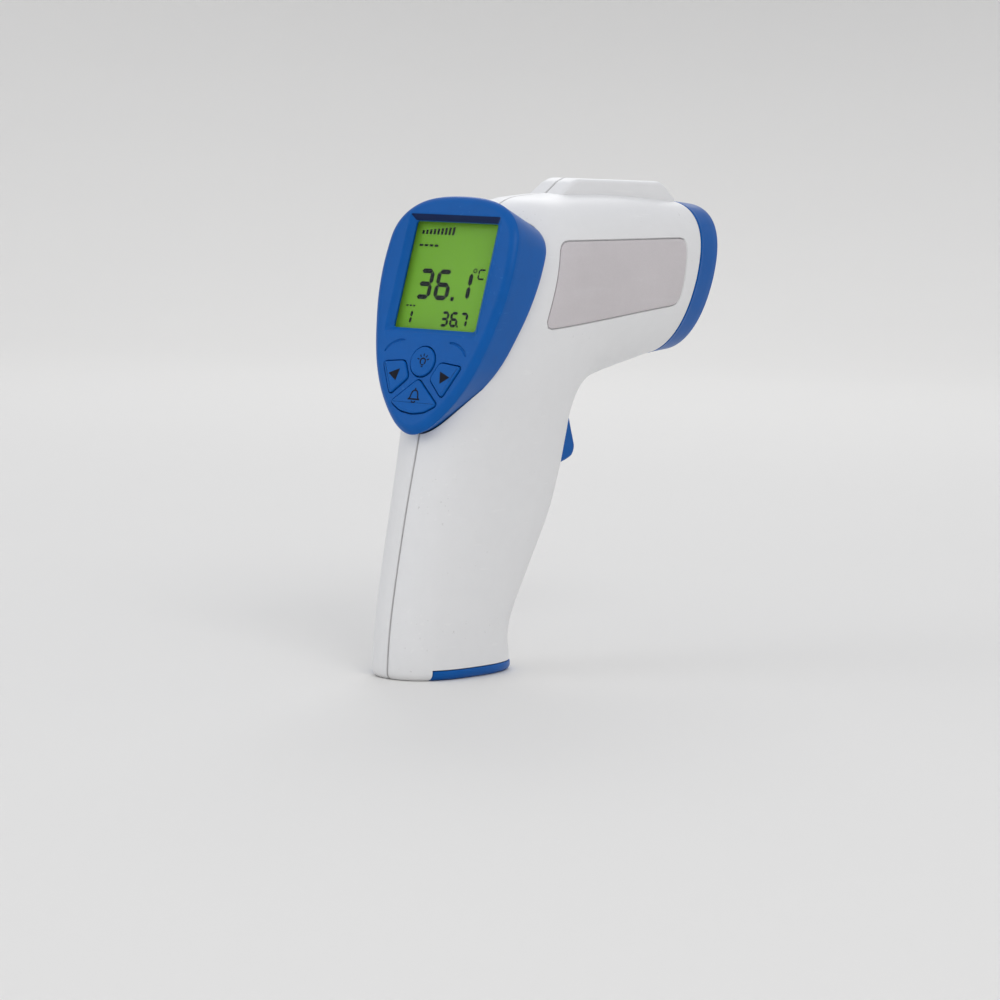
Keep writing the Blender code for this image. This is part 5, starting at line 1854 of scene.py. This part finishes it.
@dataclass
class Electronics:
    """Main board, chip with its legs, small parts, sounder and the leads."""

    scatter: Scatter
    sweep: Sweep
    power: GripPower
    seed: int = 11

    def legs(self) -> None:
        """The chip's row of bent legs."""
        leg = Skin()
        line = [(0.0, 0.55), (0.45, 0.55), (0.75, 0.12), (1.2, 0.12)]
        strip = line + [(x, z - 0.12) for x, z in reversed(line)]
        leg.loft([[Vector((y, x, -z)) for x, z in strip] for y in (-0.16, 0.16)])
        places = [(FACE.point(-3.6 + 0.9 * i, 14.5, -10.45), -FACE.normal(), UNIT) for i in range(9)]
        item = self.scatter.lay("chip_legs", leg, places, NICKEL)
        fit(item, Body.MAIN)

    def passives(self) -> None:
        """Small blocks soldered to the board's hidden side."""
        block = Skin()
        block.prism(rounded_rect(0.5, 0.28, 0.06, 2), 0.0, 0.5, upright, 0.06)
        rng = random.Random(self.seed)
        places = []
        taken = [(0.0, 10.0, 7.2), (0.0, -10.5, 5.6), (3.0, 20.0, 2.6), (-6.0, -9.0, 2.2), (6.5, -9.0, 2.2),
                 (0.0, -2.5, 2.4)]
        taken += [(x, v, 3.0) for x, v in BOARD_SCREWS]
        while len(places) < 46:
            x, v = rng.uniform(-16.5, 16.5), rng.uniform(-17.0, 27.0)
            if all((x - a) ** 2 + (v - b) ** 2 > r * r for a, b, r in taken) and abs(x) < 17.5 + min(v, 0.0) * 0.45:
                taken.append((x, v, 1.7))
                grown = rng.choice((0.9, 1.2, 1.6))
                places.append((FACE.point(x, v, -10.42), -FACE.normal(), Vector((grown, grown, grown))))
        item = self.scatter.lay("board_passives", block, places, PASSIVE_TAN)
        fit(item, Body.MAIN)

    def leads(self) -> None:
        """Battery wires, sensor lead and switch lead, each swept along its route."""
        grip = self.power.point
        top = self.power.cell_long + 5.05
        routes = (
            ("lead_red", "wire_red", 0.6, RED_LEAD, [grip(-5.6, -1.5, top), Vector((-7.0, -30.0, 68.0)),
             Vector((-8.0, -33.0, 80.0)), Vector((-6.0, -35.5, 92.0)), FACE.point(-6.0, -9.0, -11.4)]),
            ("lead_black", "wire_black", 0.6, BLACK_LEAD, [grip(5.6, -1.5, top), Vector((7.0, -30.0, 68.0)),
             Vector((8.0, -33.0, 80.0)), Vector((6.5, -35.5, 92.0)), FACE.point(6.5, -9.0, -11.4)]),
            ("lead_sensor", "sensor_cable", 1.0, GREY_LEAD, [
                Vector((0.0, 25.6, 116.5)), Vector((0.0, 19.0, 116.5)), Vector((0.0, 2.0, 120.5)),
                Vector((2.0, -18.0, 121.0)), FACE.point(3.0, 20.0, -15.0), FACE.point(3.0, 20.0, -11.0)]),
            ("lead_switch", "switch_cable", 0.8, GREY_LEAD, [
                Vector((0.0, -14.6, 70.5)), Vector((0.0, -19.0, 72.0)), Vector((0.0, -28.0, 84.0)),
                FACE.point(0.0, -2.5, -14.5), FACE.point(0.0, -2.5, -11.0)]),
        )
        for name, node, radius, finish, stops in routes:
            flat = [tuple(p) for p in stops]
            total = (len(flat) - 1) * 12
            path = [Vector(spline(flat, i / 12)) for i in range(total + 1)]
            fit(self.sweep.along(name, path, radius, finish), Body.MAIN, [node])

    def build(self) -> None:
        """Build the small parts and finish the boards."""
        finish_node("main_board", BOARD_MASK)
        finish_node("main_chip", CHIP_EPOXY)
        finish_node("buzzer", CHIP_EPOXY)
        self.legs()
        self.passives()
        self.leads()


@dataclass
class Studio:
    """Pale sweep, soft lights and the camera."""

    camera_at: tuple = (0.68359, -0.85154, 0.15749)
    right: tuple = (0.7708, 0.6366, 0.0266)
    back: tuple = (0.6332, -0.77, 0.0787)
    lens: float = 129.6
    floor_r: float = 1.45
    wall_r: float = 0.75
    wall_top: float = 1.5
    rim_points: int = 96
    shift: tuple = (0.002, -0.0757)
    lamps: tuple = (
        ("key", (1.30, -0.70, 1.25), (0.0, 0.0, 0.07), 0.8, 6.2, (1.0, 0.985, 0.96)),
        ("fill", (-0.75, -1.35, 0.80), (0.0, 0.0, 0.09), 0.9, 3.0, (0.96, 0.98, 1.0)),
        ("back", (-0.9, 1.2, 1.1), (0.0, 0.0, 0.09), 0.8, 5.0, (1.0, 1.0, 1.0)),
    )
    sky_colour: tuple = (0.93, 0.95, 1.0, 1.0)
    sky_strength: float = 0.78

    def sweep(self) -> None:
        """A round floor that rises into a wall all round, with no corner."""
        profile = [(0.02, 0.0), (0.5, 0.0), (1.2, 0.0), (self.floor_r, 0.0)]
        for k in range(1, 13):
            a = math.pi / 2 * k / 12
            profile.append((self.floor_r + self.wall_r * math.sin(a), self.wall_r * (1.0 - math.cos(a))))
        profile.append((self.floor_r + self.wall_r, self.wall_top))
        bm = bmesh.new()
        count = self.rim_points
        rows = [[bm.verts.new((r * math.cos(2 * math.pi * i / count), r * math.sin(2 * math.pi * i / count), z))
                 for i in range(count)] for r, z in profile]
        for first, second in zip(rows, rows[1:]):
            for i in range(count):
                j = (i + 1) % count
                bm.faces.new((first[i], second[i], second[j], first[j]))
        bm.faces.new(rows[0])
        mesh = bpy.data.meshes.new("studio_floor")
        bm.to_mesh(mesh)
        bm.free()
        floor = link("studio_floor", mesh)
        dress(floor, StudioPaper("studio_paper"), 40.0)
        floor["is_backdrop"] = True

    def lamp(self, name: str, at: tuple, aim: tuple, size: float, power: float, colour: Colour) -> None:
        """One soft rectangular lamp.

        Args:
            name: Its name.
            at: Its place, in metres.
            aim: The point it looks at.
            size: Its side.
            power: Its power in watts.
            colour: Its light's colour.
        """
        light = bpy.data.lights.new(name, "AREA")
        light.shape = "SQUARE"
        light.size = size
        light.energy = power
        light.color = colour
        item = bpy.data.objects.new(name, light)
        item.location = at
        item.rotation_euler = (Vector(aim) - Vector(at)).to_track_quat("-Z", "Y").to_euler()
        bpy.context.scene.collection.objects.link(item)

    def camera(self) -> None:
        """The camera, square to its measured axes."""
        right = Vector(self.right).normalized()
        back = Vector(self.back)
        back = (back - right * back.dot(right)).normalized()
        up = back.cross(right)
        data = bpy.data.cameras.new("camera")
        data.lens = self.lens
        data.sensor_width = 36.0
        data.shift_x, data.shift_y = self.shift
        data.clip_start = 0.05
        data.clip_end = 100.0
        item = bpy.data.objects.new("camera", data)
        turn = Matrix((right, up, back)).transposed().to_4x4()
        item.matrix_world = Matrix.Translation(Vector(self.camera_at)) @ turn
        bpy.context.scene.collection.objects.link(item)
        bpy.context.scene.camera = item

    def build(self) -> None:
        """Build the set."""
        self.sweep()
        for lamp in self.lamps:
            self.lamp(*lamp)
        world = bpy.data.worlds.new("studio_air")
        world.use_nodes = True
        sky = world.node_tree.nodes["Background"]
        sky.inputs["Color"].default_value = self.sky_colour
        sky.inputs["Strength"].default_value = self.sky_strength
        bpy.context.scene.world = world
        bpy.context.scene.view_settings.view_transform = "Standard"
        self.camera()


def main() -> None:
    """Build every sub-assembly, then the studio."""
    logging.basicConfig(level=logging.INFO, format="%(name)s %(message)s")
    before = [list(corner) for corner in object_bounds()]
    scatter, sweep = Scatter(), Sweep()
    housing, bezel, power = HousingPair(), BezelCup(), GripPower(scatter)
    assemblies = (housing, SidePlates(), bezel, DisplayModule(bezel), Keypad(), NozzleUnit(), TriggerUnit(sweep),
                  power, Fasteners(scatter, housing), Electronics(scatter, sweep, power), Studio())
    for assembly in assemblies:
        log.info("building %s", type(assembly).__name__)
        assembly.build()
    after = [list(corner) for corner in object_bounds()]
    {"cad": before, "visual": after}
    log.info("cad box %s, visual box %s", before, after)


if __name__ == "__main__":
    main()
